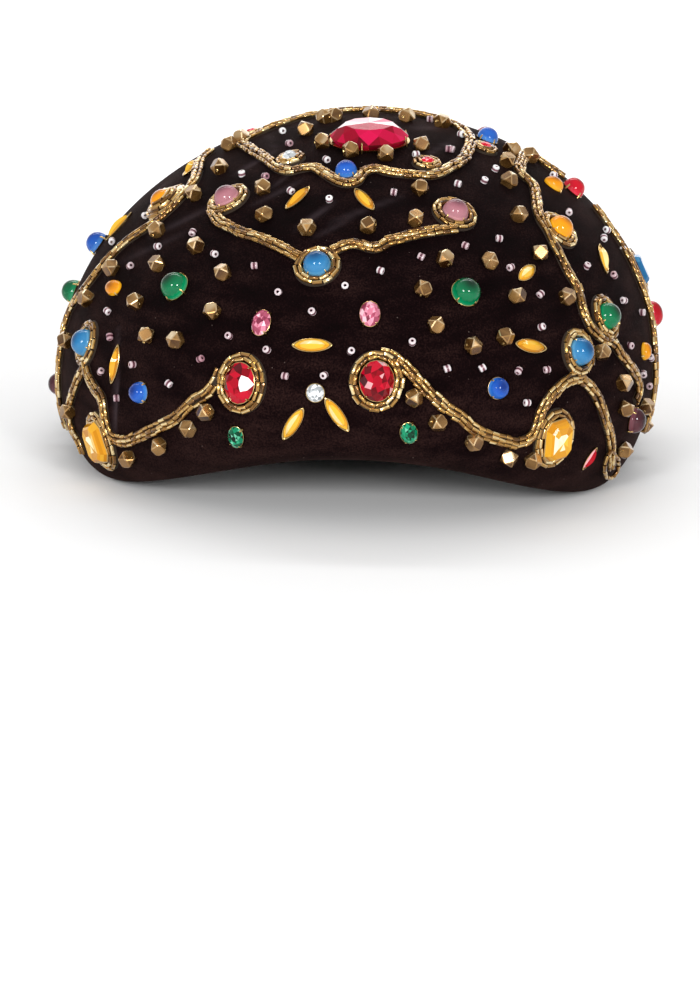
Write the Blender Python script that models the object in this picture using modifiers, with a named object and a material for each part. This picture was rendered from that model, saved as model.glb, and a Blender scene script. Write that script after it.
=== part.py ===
"""A close-fitting toque of black velvet, sewn all over with brass nailheads, glass stones and
scrolling cords of gold bugle beads. The front faces -Y and the top +Z. The velvet stands on the
plane z = 0. Every size below is in millimetres, and MM turns it to metres."""

from math import cos, hypot, pi, radians, sin

import bmesh
import bpy
from mathutils import Matrix, Vector
from mathutils.bvhtree import BVHTree

MM = 0.001
Z_AXIS = Vector((0, 0, 1))

# The velvet crown
HALF_WIDTH = 92.6
HALF_LENGTH = 107.0
HEIGHT = 105.0
WIDEST_AT = 28.0
WALL = 3.0
LEAN = 5.6
LEAN_CURVE = 1.25
FRONT_ARCH = 20.5
ARCH_HALF_TURN = radians(67.6)
ARCH_AT_WIDEST = 0.45
CURL_TURN = radians(60)
CURL_DEPTH = 0.17
TUCK = 0.06
CROWN_COLUMNS = 40
CURL_ROWS = 2
DOME_ROWS = 8

# The view in which the front is charted: 700 x 981 units, seen from a little above
VIEW_FOCUS = Vector((0, 0, 50))
VIEW_CENTRE = (355.7, 291.8)
VIEW_UNITS_PER_MM = 3.2
VIEW_DISTANCE = 1500
VIEW_RISE = radians(12)
VIEW_ROLL = radians(1.37)
OUTLINE_PULL = 0.01
OUTLINE_PULLS = 10

# Running gaps between the velvet and a stone or a cord that lies on it
SEAM = 0.3
CORD_SEAM = 0.6

# Cords of bugle beads: three rows make a run, and two rows make a ring round a stone
RUN_WIDTH = 3.6
RUN_HEIGHT = 1.9
RING_WIDTH = 2.8
RING_HEIGHT = 2.3
RING_GAP = 0.5
RING_STEPS = 10
SMALL_RING_WIDTH = 4.2
CORD_STEP = 8.0
CORD_CROWN = 0.55
STRAND_RISE = 0.12

# Nailheads and navettes are sewn down into the pile, and are rooted this deep
ROOT = 0.8
NAILHEAD_WIDTH = 5.2
NAILHEAD_TABLE = 3.0
NAILHEAD_HEIGHT = 4.0
NAILHEAD_SIDES = 6

# Cuts: sides, height as a share of the width, and the turned profile from base to top as
# (radius, height) shares; a pinch above 0 draws the two ends to points
CUTS = {
    "cabochon": (10, 0.50, 0.0, ((1, 0), (1, 0.25), (0.74, 0.80), (0, 1))),
    "oval": (10, 0.45, 0.0, ((0.8, 0), (1, 0.35), (0.62, 1), (0, 1))),
    "step": (8, 0.42, 0.0, ((0.85, 0), (1, 0.35), (0.66, 1), (0, 1))),
    "rose": (12, 0.36, 0.0, ((0.9, 0), (1, 0.35), (0.76, 0.8), (0.4, 1), (0, 1))),
    "navette": (8, 0.62, 0.35, ((0.8, 0), (1, 0.35), (0.45, 1), (0, 1))),
}

# Glass colours: base colour as linear red, green and blue
GLASS = {
    "ruby": (0.55, 0.004, 0.03),
    "topaz": (0.80, 0.32, 0.02),
    "green": (0.0, 0.25, 0.09),
    "emerald": (0.0, 0.30, 0.12),
    "sky": (0.08, 0.30, 0.65),
    "royal": (0.02, 0.10, 0.60),
    "pink": (0.50, 0.20, 0.30),
    "rose": (0.75, 0.12, 0.30),
    "amber": (0.80, 0.25, 0.01),
    "amethyst": (0.12, 0.02, 0.07),
    "clear": (0.75, 0.78, 0.78),
    "red": (0.60, 0.01, 0.02),
}

# Stones seen from the front: name, cut, glass, across and down in the view, long and wide in
# millimetres, and how far the long way leans clockwise from upright, in degrees
FRONT_STONES = (
    ("top_ruby", "rose", "ruby", 369, 134, 24.0, 18.0, 90),
    ("top_royal", "cabochon", "royal", 346, 169, 6.6, 6.6, 0),
    ("crest_royal", "cabochon", "royal", 489.5, 134.5, 6.6, 6.6, 0),
    ("side_red", "cabochon", "red", 577, 186, 7.0, 7.0, 0),
    ("brow_pink_left", "cabochon", "pink", 226, 196, 8.0, 8.0, 0),
    ("brow_pink_right", "cabochon", "pink", 456, 210, 8.0, 8.0, 0),
    ("brow_sky", "cabochon", "sky", 316.5, 262.5, 8.2, 8.2, 0),
    ("amber_left", "cabochon", "amber", 162, 200, 8.0, 8.0, 0),
    ("amber_right", "cabochon", "amber", 561.5, 226.5, 8.0, 8.0, 0),
    ("green_left", "cabochon", "green", 173, 284.5, 8.6, 8.6, 0),
    ("green_right", "cabochon", "green", 467.3, 290.5, 8.6, 8.6, 0),
    ("side_green", "cabochon", "green", 610, 315, 8.2, 8.2, 0),
    ("rose_left", "oval", "rose", 260.7, 322.2, 8.0, 6.0, 12),
    ("rose_right", "oval", "rose", 370, 313.5, 8.0, 6.0, 0),
    ("temple_sky_left", "cabochon", "sky", 82, 342, 8.4, 8.4, 0),
    ("temple_sky_right", "cabochon", "sky", 582.5, 351, 8.4, 8.4, 0),
    ("ruby_left", "oval", "ruby", 238.3, 383, 12.2, 10.0, 4),
    ("ruby_right", "oval", "ruby", 377, 381, 12.0, 10.2, 0),
    ("royal_left", "cabochon", "royal", 137.5, 392.5, 6.4, 6.4, 0),
    ("royal_right", "cabochon", "royal", 499.6, 388.4, 6.4, 6.4, 0),
    ("emerald_left", "oval", "emerald", 235.4, 437.5, 7.0, 5.0, 3),
    ("emerald_right", "oval", "emerald", 409, 433.5, 7.0, 5.2, -14),
    ("topaz_left", "step", "topaz", 96, 443, 12.8, 9.8, -18),
    ("topaz_right", "step", "topaz", 558.3, 440.5, 12.8, 9.8, 5),
    ("side_amethyst", "cabochon", "amethyst", 637, 421, 8.0, 7.0, 10),
)

# The same stones as on the front, in the same places as seen from behind
BACK_STONES = (
    "brow_pink_left",
    "brow_pink_right",
    "brow_sky",
    "ruby_left",
    "ruby_right",
    "topaz_left",
    "topaz_right",
    "green_left",
    "green_right",
    "temple_sky_left",
    "temple_sky_right",
)

# Stones over the ears, past the outline of that view: name, cut, glass, turn from the front in
# degrees, height above the resting plane, long and wide
EAR_STONES = (
    ("ear_sky_right", "step", "sky", 86, 60, 9.6, 7.4),
    ("ear_red_right", "cabochon", "red", 93, 44, 8.4, 6.4),
    ("ear_royal_left", "cabochon", "royal", -93, 62, 7.4, 7.4),
    ("ear_green_left", "cabochon", "green", -98, 45, 7.6, 7.6),
    ("ear_amethyst_left", "cabochon", "amethyst", -91, 18, 7.4, 7.4),
)

# Small stones held in the cord round the top, and charted as the front stones are
TOP_CORD_STONES = (
    ("oval", "clear", 290, 158, 4.6, 4.6, 0),
    ("oval", "red", 427, 163, 4.6, 3.4, 90),
    ("oval", "red", 484.5, 148, 4.6, 3.4, 90),
    ("oval", "red", 252, 134, 4.6, 3.4, 90),
)

# Navettes and small ambers sewn straight to the velvet: cut, glass, across, down, long, wide, lean
FRONT_SLIVERS = (
    ("navette", "topaz", 311.6, 344.5, 11.8, 4.0, 90),
    ("navette", "topaz", 292.5, 424.7, 11.8, 3.8, 33),
    ("navette", "topaz", 336.6, 415.3, 11.8, 3.8, -35),
    ("navette", "topaz", 297.0, 196.0, 11.8, 3.8, 46),
    ("navette", "topaz", 364.2, 197.5, 11.8, 3.8, -40),
    ("navette", "topaz", 532.6, 345.5, 11.8, 4.0, 99),
    ("navette", "topaz", 528.0, 271.5, 9.6, 3.8, 48),
    ("navette", "topaz", 604.9, 257.5, 11.8, 3.8, -14),
    ("navette", "topaz", 112.8, 363.7, 11.8, 3.8, 13),
    ("navette", "topaz", 117.5, 225.0, 11.8, 3.8, 42),
    ("navette", "topaz", 190.6, 166.0, 11.8, 3.8, 44),
    ("oval", "amber", 554.3, 183.5, 6.6, 5.0, -60),
    ("oval", "amber", 112.9, 287.3, 5.4, 4.4, 0),
    ("navette", "red", 591.5, 459.5, 8.0, 3.2, 33),
    ("oval", "amber", 646, 351, 5.6, 4.2, 0),
    ("oval", "clear", 315, 393, 5.3, 5.3, 0),
)

# Nailheads seen from the front, as short rows of beads: first and last place in the view, how
# far the middle of the row bows down, and how many beads it has
FRONT_NAILHEADS = (
    ((128, 461), (206, 414), 5, 4),
    ((529, 464), (475, 446), 4, 3),
    ((438.5, 424), (414.5, 398.5), 0, 2),
    ((145, 335), (175, 339), 0, 2),
    ((211.5, 310), (222, 272), 0, 2),
    ((134.5, 301), (156.5, 263), 0, 2),
    ((110, 268), (156, 230), -2, 2),
    ((193, 195), (219, 166), 0, 2),
    ((195, 245), (195, 245), 0, 1),
    ((228, 143), (228, 143), 0, 1),
    ((262, 187), (262, 187), 0, 1),
    ((264, 213), (306, 226), 2, 2),
    ((368.5, 225), (415.5, 217), 0, 2),
    ((419, 187), (419, 187), 0, 1),
    ((305.5, 128.5), (322.5, 141), 0, 2),
    ((349, 154), (387, 157), 0, 2),
    ((421, 143.5), (421, 143.5), 0, 1),
    ((512, 148), (507.5, 160), 0, 2),
    ((508.5, 180), (519.5, 213.5), 0, 2),
    ((445.5, 257.5), (490.5, 260), 0, 2),
    ((423.5, 288), (436.5, 324), 0, 2),
    ((474, 345.5), (506, 336.5), 0, 2),
    ((517.5, 294), (540.5, 252), 0, 2),
    ((562, 299), (562, 299), 0, 1),
    ((603.5, 362), (603.5, 362), 0, 1),
    ((622.5, 384), (624.5, 408), 0, 2),
    ((86, 301), (86, 301), 0, 1),
)

# Rows of that chart which are also worked on the back
BACK_NAILHEAD_ROWS = (0, 1, 2, 4, 5, 8, 11, 12, 19, 20, 21)

# Cords seen from the front: the runs, as places in the view that the middle of the cord passes,
# and the stones that it rings. Those in BACK_CORDS are also worked on the back
BACK_CORDS = ("brow_cord", "temple_cord_left", "temple_cord_right")
FRONT_CORDS = {
    "brow_cord": (
        (
            ((211, 209), (219, 221), (229, 226), (243, 233), (256, 236), (270, 242), (300, 257)),
            ((332, 251), (352, 243), (374, 247.5), (389, 241), (405, 236.5), (425, 232), (456, 228)),
        ),
        ("brow_pink_left", "brow_sky", "brow_pink_right"),
    ),
    "temple_cord_left": (
        (
            ((220, 369), (216, 380), (208, 391.5), (191, 403), (175, 418.5), (156, 428), (140, 436),
             (124, 441), (110, 436), (105, 424), (103, 411), (101, 398), (94, 388), (88, 377),
             (84, 362)),
            ((84, 366), (77, 380), (72, 393), (69, 405), (69, 418), (72, 431), (76, 444), (80, 455)),
        ),
        ("ruby_left", "topaz_left", "temple_sky_left"),
    ),
    "temple_cord_right": (
        (
            ((380, 353), (396, 359), (412, 374), (428, 391), (447, 408), (461, 417), (474, 429),
             (487, 435.5), (503, 440), (518, 443), (532, 437), (538, 425), (542, 411), (551, 397),
             (561, 386), (571, 379), (582, 377)),
            ((576, 376), (589, 385), (600, 402), (606, 420), (611, 436), (612, 455), (612, 468)),
        ),
        ("ruby_right", "topaz_right", "temple_sky_right"),
    ),
    "side_cord_right": (
        (
            ((527, 151), (521, 162), (519, 170), (525, 177), (533, 184), (536, 197), (537, 209),
             (541, 220), (548, 231), (554, 243), (560, 255), (568, 271), (576, 284), (580, 296),
             (584, 311), (592, 328), (603, 338), (613, 341), (620, 352), (629, 364), (637, 376),
             (640, 390), (636, 402)),
            ((527, 151), (539, 156.5), (551, 163), (566, 176)),
        ),
        ("amber_right", "side_green"),
    ),
}

# The cord round the top: the half that the front view shows, then its far half as places in
# plan, in millimetres right of the middle and back from it
TOP_CORD_SEEN = (
    (244, 140), (251, 149), (264, 157), (277, 167), (289, 171), (302, 168), (314, 167), (326, 174), (336, 180),
    (346, 183), (357, 181), (364, 172), (375, 168), (386, 171), (399, 173), (425, 175), (439, 173),
    (450, 167), (462, 160), (468, 150), (470, 138),
)
TOP_CORD_FAR = ((30, 2), (22, 10), (11, 14), (-1, 15), (-13, 13), (-23, 7.5))

# Cords over the ears: each a run charted as the ear stones are, and the stones that it rings
EAR_CORDS = {
    "ear_cord_right": (
        ((87, 79), (83.5, 74), (82, 69), (80.8, 64), (80.3, 59), (80.5, 54), (80.5, 49), (79, 42),
         (78, 36), (79, 28), (80, 12)),
        ("ear_sky_right",),
    ),
    "side_cord_left": (
        ((-92, 92.5), (-85, 91), (-75, 90), (-65.5, 88.5), (-61.5, 86), (-59.5, 83),
         (-59.5, 80), (-60.5, 77), (-62.5, 74.5), (-65.5, 71.5), (-68, 68), (-69.5, 64.5), (-71, 61), (-72.5, 57),
         (-75, 53), (-78, 49), (-80.5, 45), (-81, 40), (-80, 34), (-80, 27), (-80.5, 20),
         (-82, 13), (-84, 7)),
        ("amber_left",),
    ),
}


def crown_point(turn, climb):
    """A point of the velvet. Turn runs from the front centre towards +X, in radians, and climb
    from -1 at the rim through 0 at the widest line to 1 at the top."""
    arch = FRONT_ARCH * cos(min(1, abs(turn) / ARCH_HALF_TURN) * pi / 2) ** 2
    if climb < 0:
        slope = -climb * CURL_TURN
        reach = 1 - CURL_DEPTH * (1 - cos(slope))
        height = WIDEST_AT * (1 - sin(slope) / sin(CURL_TURN))
        height += arch * (ARCH_AT_WIDEST + (1 - ARCH_AT_WIDEST) * -climb)
    else:
        shoulder = WIDEST_AT + ARCH_AT_WIDEST * arch
        reach = cos(climb * pi / 2)
        height = shoulder + (HEIGHT - shoulder) * sin(climb * pi / 2)
    lean = LEAN * (max(height, 0) / HEIGHT) ** LEAN_CURVE
    return Vector((HALF_WIDTH * reach * sin(turn) + lean, -HALF_LENGTH * reach * cos(turn), height))


def crown_sheet():
    """The outer face of the crown as an open sheet, from just under the rim to the top."""
    climbs = [-1 - TUCK + (1 + TUCK) * row / CURL_ROWS for row in range(CURL_ROWS)]
    climbs += [row / DOME_ROWS for row in range(DOME_ROWS)]
    sheet = bmesh.new()
    rings = []
    for climb in climbs:
        turns = [2 * pi * (column / CROWN_COLUMNS - 0.5) for column in range(CROWN_COLUMNS)]
        rings.append([sheet.verts.new(crown_point(turn, climb)) for turn in turns])
    for low, high in zip(rings, rings[1:]):
        for column in range(CROWN_COLUMNS):
            after = (column + 1) % CROWN_COLUMNS
            sheet.faces.new((low[column], low[after], high[after], high[column]))
    top = sheet.verts.new(crown_point(0, 1))
    for column in range(CROWN_COLUMNS):
        sheet.faces.new((rings[-1][column], rings[-1][(column + 1) % CROWN_COLUMNS], top))
    bmesh.ops.triangulate(sheet, faces=sheet.faces)
    return sheet


def view_axes():
    """The view's axes: to the right, up the picture, and back towards the eye."""
    back = Vector((0, -cos(VIEW_RISE), sin(VIEW_RISE)))
    up = Vector((0, sin(VIEW_RISE), cos(VIEW_RISE)))
    return Vector((1, 0, 0)), up, back


def in_view(point):
    """Where a point is seen, as units across and down the view."""
    right, up, back = view_axes()
    arm = point - VIEW_FOCUS
    scale = VIEW_UNITS_PER_MM * VIEW_DISTANCE / (VIEW_DISTANCE - arm.dot(back))
    u, v = arm.dot(right) * scale, arm.dot(up) * scale
    across = VIEW_CENTRE[0] + u * cos(VIEW_ROLL) + v * sin(VIEW_ROLL)
    return across, VIEW_CENTRE[1] - v * cos(VIEW_ROLL) + u * sin(VIEW_ROLL)


def cast(across, down):
    """Where the line of sight through a place in the view meets the velvet, and which way the
    velvet faces there."""
    right, up, back = view_axes()
    du, dv = across - VIEW_CENTRE[0], VIEW_CENTRE[1] - down
    u = (du * cos(VIEW_ROLL) - dv * sin(VIEW_ROLL)) / VIEW_UNITS_PER_MM
    v = (du * sin(VIEW_ROLL) + dv * cos(VIEW_ROLL)) / VIEW_UNITS_PER_MM
    eye = VIEW_FOCUS + back * VIEW_DISTANCE
    aim = VIEW_FOCUS + right * u + up * v - eye
    place, facing, _, _ = VELVET.ray_cast(eye, aim.normalized())
    return (place, facing) if place else (None, None)


def seen(across, down, lift=0):
    """The seat under something that stands lift above the velvet and is seen at this place.
    What is seen just past the velvet's outline is drawn in to the outline."""
    for pull in range(OUTLINE_PULLS):
        share = 1 - pull * OUTLINE_PULL
        spot = [far * share + near * (1 - share) for far, near in zip((across, down), VIEW_CENTRE)]
        place, facing = cast(*spot)
        if place:
            break
    else:
        raise ValueError(f"nothing is seen at {across}, {down}")
    lifted = in_view(place + facing * lift)
    nearer = cast(2 * spot[0] - lifted[0], 2 * spot[1] - lifted[1])
    return nearer if nearer[0] else (place, facing)


def toward(point, facing):
    """The seat below a point, looking down along a direction."""
    place, found, _, _ = VELVET.ray_cast(point + facing * HEIGHT / 4, -facing)
    return place, found


def at_height(turn, height):
    """The seat at a turn from the front, in degrees, and a height."""
    outward = Vector((sin(radians(turn)), -cos(radians(turn)), 0))
    place, facing, _, _ = VELVET.ray_cast(outward * 2 * HALF_LENGTH + height * Z_AXIS, -outward)
    return place, facing


def in_plan(across, back):
    """The seat under a point of the plan."""
    return toward(Vector((across, back, HEIGHT)), Z_AXIS)


def behind(seat):
    """The same seat half a turn round the crown, found again on the velvet there."""
    half_turn = Matrix.Rotation(pi, 3, "Z")
    return toward(half_turn @ seat[0], half_turn @ seat[1])


def named_material(name, colour, roughness, metallic=0.0):
    material = bpy.data.materials.get(name)
    if material is None:
        material = bpy.data.materials.new(name)
        material.use_nodes = True
        shader = material.node_tree.nodes["Principled BSDF"]
        shader.inputs["Base Color"].default_value = (*colour, 1)
        shader.inputs["Roughness"].default_value = roughness
        shader.inputs["Metallic"].default_value = metallic
    return material


def velvet_material():
    return named_material("black_velvet", (0.006, 0.004, 0.005), 0.95)


def brass_material():
    return named_material("aged_brass", (0.30, 0.19, 0.07), 0.35, 1.0)


def bugle_material():
    return named_material("gold_bugle_glass", (0.42, 0.25, 0.06), 0.25, 0.8)


def glass_material(glass):
    return named_material(glass + "_glass", GLASS[glass], 0.08)


def finish(form, name, materials, collection):
    """Turns a form worked in millimetres into an object of that name."""
    bmesh.ops.recalc_face_normals(form, faces=form.faces)
    bmesh.ops.scale(form, vec=(MM, MM, MM), verts=form.verts)
    mesh = bpy.data.meshes.new(name)
    form.to_mesh(mesh)
    form.free()
    for material in materials:
        mesh.materials.append(material)
    piece = bpy.data.objects.new(name, mesh)
    collection.objects.link(piece)
    return piece


def stone_form(cut, long, wide):
    """A stone of that cut lying on the XY plane, with its long way along Y."""
    sides, share, pinch, profile = CUTS[cut]
    form = bmesh.new()
    points = [form.verts.new((0, 0, 0))]
    points += [form.verts.new((radius, 0, height)) for radius, height in profile]
    edges = [form.edges.new(pair) for pair in zip(points, points[1:])]
    bmesh.ops.spin(form, geom=points + edges, axis=(0, 0, 1), cent=(0, 0, 0), angle=2 * pi,
                   steps=sides, use_merge=True)
    bmesh.ops.remove_doubles(form, verts=form.verts, dist=1e-4)
    bmesh.ops.rotate(form, verts=form.verts, matrix=Matrix.Rotation(-pi / 2, 3, "Z"))
    if cut == "step":
        bmesh.ops.rotate(form, verts=form.verts, matrix=Matrix.Rotation(pi / sides, 3, "Z"))
    for vert in form.verts:
        vert.co.x *= abs(vert.co.x) ** pinch * wide / 2
        vert.co.y *= long / 2
        vert.co.z *= share * wide
    bmesh.ops.dissolve_limit(form, angle_limit=radians(1), verts=form.verts, edges=form.edges)
    return form


def standing(seat, along, rise):
    """The matrix that stands a form on a seat, its Y the given way and its base risen, in mm."""
    place, facing = seat
    long_way = (along - facing * along.dot(facing)).normalized()
    turn = Matrix((long_way.cross(facing), long_way, facing)).transposed().to_4x4()
    return Matrix.Translation(place + facing * rise) @ turn


def lean_of(across, down, seat, lean):
    """The way along the velvet that is seen to lean so far clockwise from upright."""
    step = 2.0
    ahead = cast(across + step * sin(radians(lean)), down - step * cos(radians(lean)))[0]
    past = cast(across - step * sin(radians(lean)), down + step * cos(radians(lean)))[0]
    return (ahead or seat[0]) - (past or seat[0])


def place_stones():
    """Every stone that is a piece of its own: name, cut, glass, sizes, seat and long way."""
    stones = {}
    for name, cut, glass, across, down, long, wide, lean in FRONT_STONES:
        seat = seen(across, down, CUTS[cut][1] * wide / 2)
        along = lean_of(across, down, seat, lean)
        stones[name] = (cut, glass, long, wide, seat, along)
    for name in BACK_STONES:
        cut, glass, long, wide, seat, along = stones[name]
        along = Matrix.Rotation(pi, 3, "Z") @ along
        stones["back_" + name] = (cut, glass, long, wide, behind(seat), along)
    for name, cut, glass, turn, height, long, wide in EAR_STONES:
        stones[name] = (cut, glass, long, wide, at_height(turn, height), Z_AXIS)
    return stones


def make_stones(stones, collection):
    for name, (cut, glass, long, wide, seat, along) in stones.items():
        piece = finish(stone_form(cut, long, wide), name, [glass_material(glass)], collection)
        matrix = standing(seat, along, SEAM)
        matrix.translation *= MM
        piece.matrix_world = matrix
        if cut == "cabochon":
            piece.data.shade_smooth()
            piece.data.set_sharp_from_angle(angle=radians(50))


def smooth_route(seats, step, closed=False):
    """Seats evenly spaced along a smooth curve through the given ones."""
    points = [place for place, _ in seats]
    facings = [facing for _, facing in seats]
    count = len(points)
    spans = count if closed else count - 1
    made = []
    for span in range(spans):
        if closed:
            picks = [(span + shift) % count for shift in (-1, 0, 1, 2)]
        else:
            picks = [min(max(span + shift, 0), count - 1) for shift in (-1, 0, 1, 2)]
        a, b, c, d = (points[pick] for pick in picks)
        cuts = max(1, round((c - b).length / step))
        for cut in range(cuts):
            t = cut / cuts
            bend = 2 * b + (c - a) * t + (2 * a - 5 * b + 4 * c - d) * t * t
            bend += (3 * b - a - 3 * c + d) * t**3
            facing = facings[picks[1]].lerp(facings[picks[2]], t).normalized()
            made.append(toward(bend / 2, facing))
    return made if closed else made + [seats[-1]]


def cord_form(seats, width, height, rise, closed):
    """A cord that keeps its flat side down along its seats. A bevelled curve would roll over as
    the dome turns under it, so the cord is lofted through sections that face out."""
    form = bmesh.new()
    count = len(seats)
    crown = CORD_CROWN * width / 2
    section = ((-width / 2, rise), (width / 2, rise), (crown, rise + height), (-crown, rise + height))
    rings = []
    for index, (place, facing) in enumerate(seats):
        if closed:
            before, after = seats[index - 1][0], seats[(index + 1) % count][0]
        else:
            before, after = seats[max(index - 1, 0)][0], seats[min(index + 1, count - 1)][0]
        side = (after - before).cross(facing).normalized()
        rings.append([form.verts.new(place + side * x + facing * z) for x, z in section])
    corners = len(section)
    for low, high in zip(rings, rings[1:] + rings[:1] if closed else rings[1:]):
        for corner in range(corners):
            after = (corner + 1) % corners
            form.faces.new((low[corner], low[after], high[after], high[corner]))
    if not closed:
        form.faces.new(rings[0])
        form.faces.new(reversed(rings[-1]))
    return form


def ring_round(stone, gap=RING_GAP, cord_width=RING_WIDTH):
    """The seats and the width of a cord that rings a stone. A gap below 0 is under its edge."""
    _, _, long, wide, (place, facing), along = stone
    long_way = (along - facing * along.dot(facing)).normalized()
    wide_way = long_way.cross(facing)
    reach = gap + cord_width / 2
    seats = []
    for step in range(RING_STEPS):
        angle = 2 * pi * step / RING_STEPS
        spot = place + wide_way * (wide / 2 + reach) * cos(angle)
        seats.append(toward(spot + long_way * (long / 2 + reach) * sin(angle), facing))
    return seats, cord_width


def make_cord(name, runs, rings, collection, helpers):
    """One cord with its rings, joined into one body. Each strand stands a little higher than
    the one before, so that no two of their faces coincide."""
    forms = [(seats, RUN_WIDTH, RUN_HEIGHT, closed) for seats, closed in runs]
    forms += [(seats, width, RING_HEIGHT, True) for seats, width in rings]
    cord = None
    for order, (seats, width, height, closed) in enumerate(forms):
        rise = CORD_SEAM + STRAND_RISE * (order % 3)
        form = cord_form(seats, width, height, rise, closed)
        if cord is None:
            cord = finish(form, name, [bugle_material()], collection)
            continue
        strand = finish(form, f"{name}_strand_{order}", [bugle_material()], helpers)
        hide(strand)
        join(cord, strand)
    return cord


def hide(piece):
    piece.hide_render = True
    piece.display_type = "WIRE"


def join(piece, other, operation="UNION"):
    boolean = piece.modifiers.new(other.name, "BOOLEAN")
    boolean.operation = operation
    boolean.solver = "EXACT"
    boolean.material_mode = "TRANSFER"
    boolean.object = other


def make_cords(stones, collection, helpers):
    lift = RUN_HEIGHT / 2
    for name, (runs, ringed) in FRONT_CORDS.items():
        routes = [[seen(*spot, lift) for spot in run] for run in runs]
        laid = [(smooth_route(route, CORD_STEP), False) for route in routes]
        rings = [ring_round(stones[stone]) for stone in ringed]
        make_cord(name, laid, rings, collection, helpers)
        if name in BACK_CORDS:
            turned = [[behind(seat) for seat in route] for route in routes]
            laid = [(smooth_route(route, CORD_STEP), False) for route in turned]
            rings = [ring_round(stones["back_" + stone]) for stone in ringed if stone in BACK_STONES]
            make_cord("back_" + name, laid, rings, collection, helpers)
    for name, (run, ringed) in EAR_CORDS.items():
        laid = [(smooth_route([at_height(*spot) for spot in run], CORD_STEP), False)]
        rings = [ring_round(stones[stone]) for stone in ringed]
        make_cord(name, laid, rings, collection, helpers)


def make_top_cord(collection, helpers):
    """The cord round the top, with small stones set in its loops and so joined to it."""
    route = [seen(*spot, RUN_HEIGHT / 2) for spot in TOP_CORD_SEEN]
    route += [in_plan(*spot) for spot in TOP_CORD_FAR]
    rings = []
    settings = bmesh.new()
    slots = glass_slots(TOP_CORD_STONES)
    for cut, glass, across, down, long, wide, lean in TOP_CORD_STONES:
        seat = seen(across, down, CUTS[cut][1] * wide / 2)
        along = lean_of(across, down, seat, lean)
        rings.append(ring_round((cut, glass, long, wide, seat, along), -ROOT, SMALL_RING_WIDTH))
        slot = slots.index(glass_material(glass))
        form = stone_form(cut, long, wide)
        add_form(settings, form, standing(seat, along, CORD_SEAM + SEAM), slot)
    laid = [(smooth_route(route, CORD_STEP, closed=True), True)]
    cord = make_cord("top_cord", laid, rings, collection, helpers)
    settings = finish(settings, "top_cord_stones", slots, helpers)
    hide(settings)
    join(cord, settings)


def nailhead_form():
    """A tall six-sided nailhead bead with a table, standing on its root."""
    form = bmesh.new()
    flare = (NAILHEAD_WIDTH - NAILHEAD_TABLE) / 2 / NAILHEAD_HEIGHT
    depth = ROOT + NAILHEAD_HEIGHT
    bmesh.ops.create_cone(form, segments=NAILHEAD_SIDES, radius1=NAILHEAD_WIDTH / 2 + flare * ROOT,
                          radius2=NAILHEAD_TABLE / 2, depth=depth, cap_ends=True)
    bmesh.ops.translate(form, vec=(0, 0, depth / 2 - ROOT), verts=form.verts)
    return form


def nailhead_seats():
    """Seats of the nailheads, row by row."""
    seats = []
    for row, (first, last, bow, count) in enumerate(FRONT_NAILHEADS):
        for bead in range(count):
            share = bead / (count - 1) if count > 1 else 0
            across = first[0] + (last[0] - first[0]) * share
            down = first[1] + (last[1] - first[1]) * share + bow * sin(pi * share)
            seat = seen(across, down, NAILHEAD_HEIGHT / 2)
            seats.append(seat)
            if row in BACK_NAILHEAD_ROWS:
                seats.append(behind(seat))
    return seats


def make_crown(sheet, collection, helpers):
    """The velvet shell, cut flat where it rests, with what is sewn straight to it."""
    crown = finish(sheet, "velvet_crown", [velvet_material()], collection)
    crown.data.shade_smooth()
    shell = crown.modifiers.new("wall", "SOLIDIFY")
    shell.thickness = WALL * MM
    shell.offset = -1
    shell.use_even_offset = True
    floor = bmesh.new()
    bmesh.ops.create_cube(floor, size=3 * HALF_LENGTH)
    bmesh.ops.translate(floor, vec=(0, 0, -1.5 * HALF_LENGTH), verts=floor.verts)
    floor = finish(floor, "resting_plane", [velvet_material()], helpers)
    hide(floor)
    join(crown, floor, "DIFFERENCE")
    sewn = bmesh.new()
    slots = [brass_material()] + glass_slots(FRONT_SLIVERS)
    for seat in nailhead_seats():
        add_form(sewn, nailhead_form(), standing(seat, Z_AXIS, 0), 0)
    for cut, glass, across, down, long, wide, lean in FRONT_SLIVERS:
        seat = seen(across, down, CUTS[cut][1] * wide / 2)
        along = lean_of(across, down, seat, lean)
        slot = slots.index(glass_material(glass))
        add_form(sewn, stone_form(cut, long, wide), standing(seat, along, -ROOT / 2), slot)
    sewn = finish(sewn, "sewn_to_crown", slots, helpers)
    hide(sewn)
    join(crown, sewn)


def glass_slots(rows):
    """The glass materials that the rows of a chart name, each once."""
    return [glass_material(glass) for glass in sorted({row[-6] for row in rows})]


def add_form(whole, form, matrix, slot):
    """Adds a form to a whole, stood by a matrix and given one of the whole's materials."""
    bmesh.ops.transform(form, matrix=matrix, verts=form.verts)
    for face in form.faces:
        face.material_index = slot
    mesh = bpy.data.meshes.new("passing")
    form.to_mesh(mesh)
    form.free()
    whole.from_mesh(mesh)
    bpy.data.meshes.remove(mesh)


def new_collection(name):
    collection = bpy.data.collections.new(name)
    bpy.context.scene.collection.children.link(collection)
    return collection


for leftover in list(bpy.data.objects):
    bpy.data.objects.remove(leftover)

toque = new_collection("toque")
helpers = new_collection("helpers")
velvet_sheet = crown_sheet()
VELVET = BVHTree.FromBMesh(velvet_sheet)
stones = place_stones()
make_stones(stones, toque)
make_cords(stones, toque, helpers)
make_top_cord(toque, helpers)
make_crown(velvet_sheet, toque, helpers)
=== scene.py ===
# %% [markdown]
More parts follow.
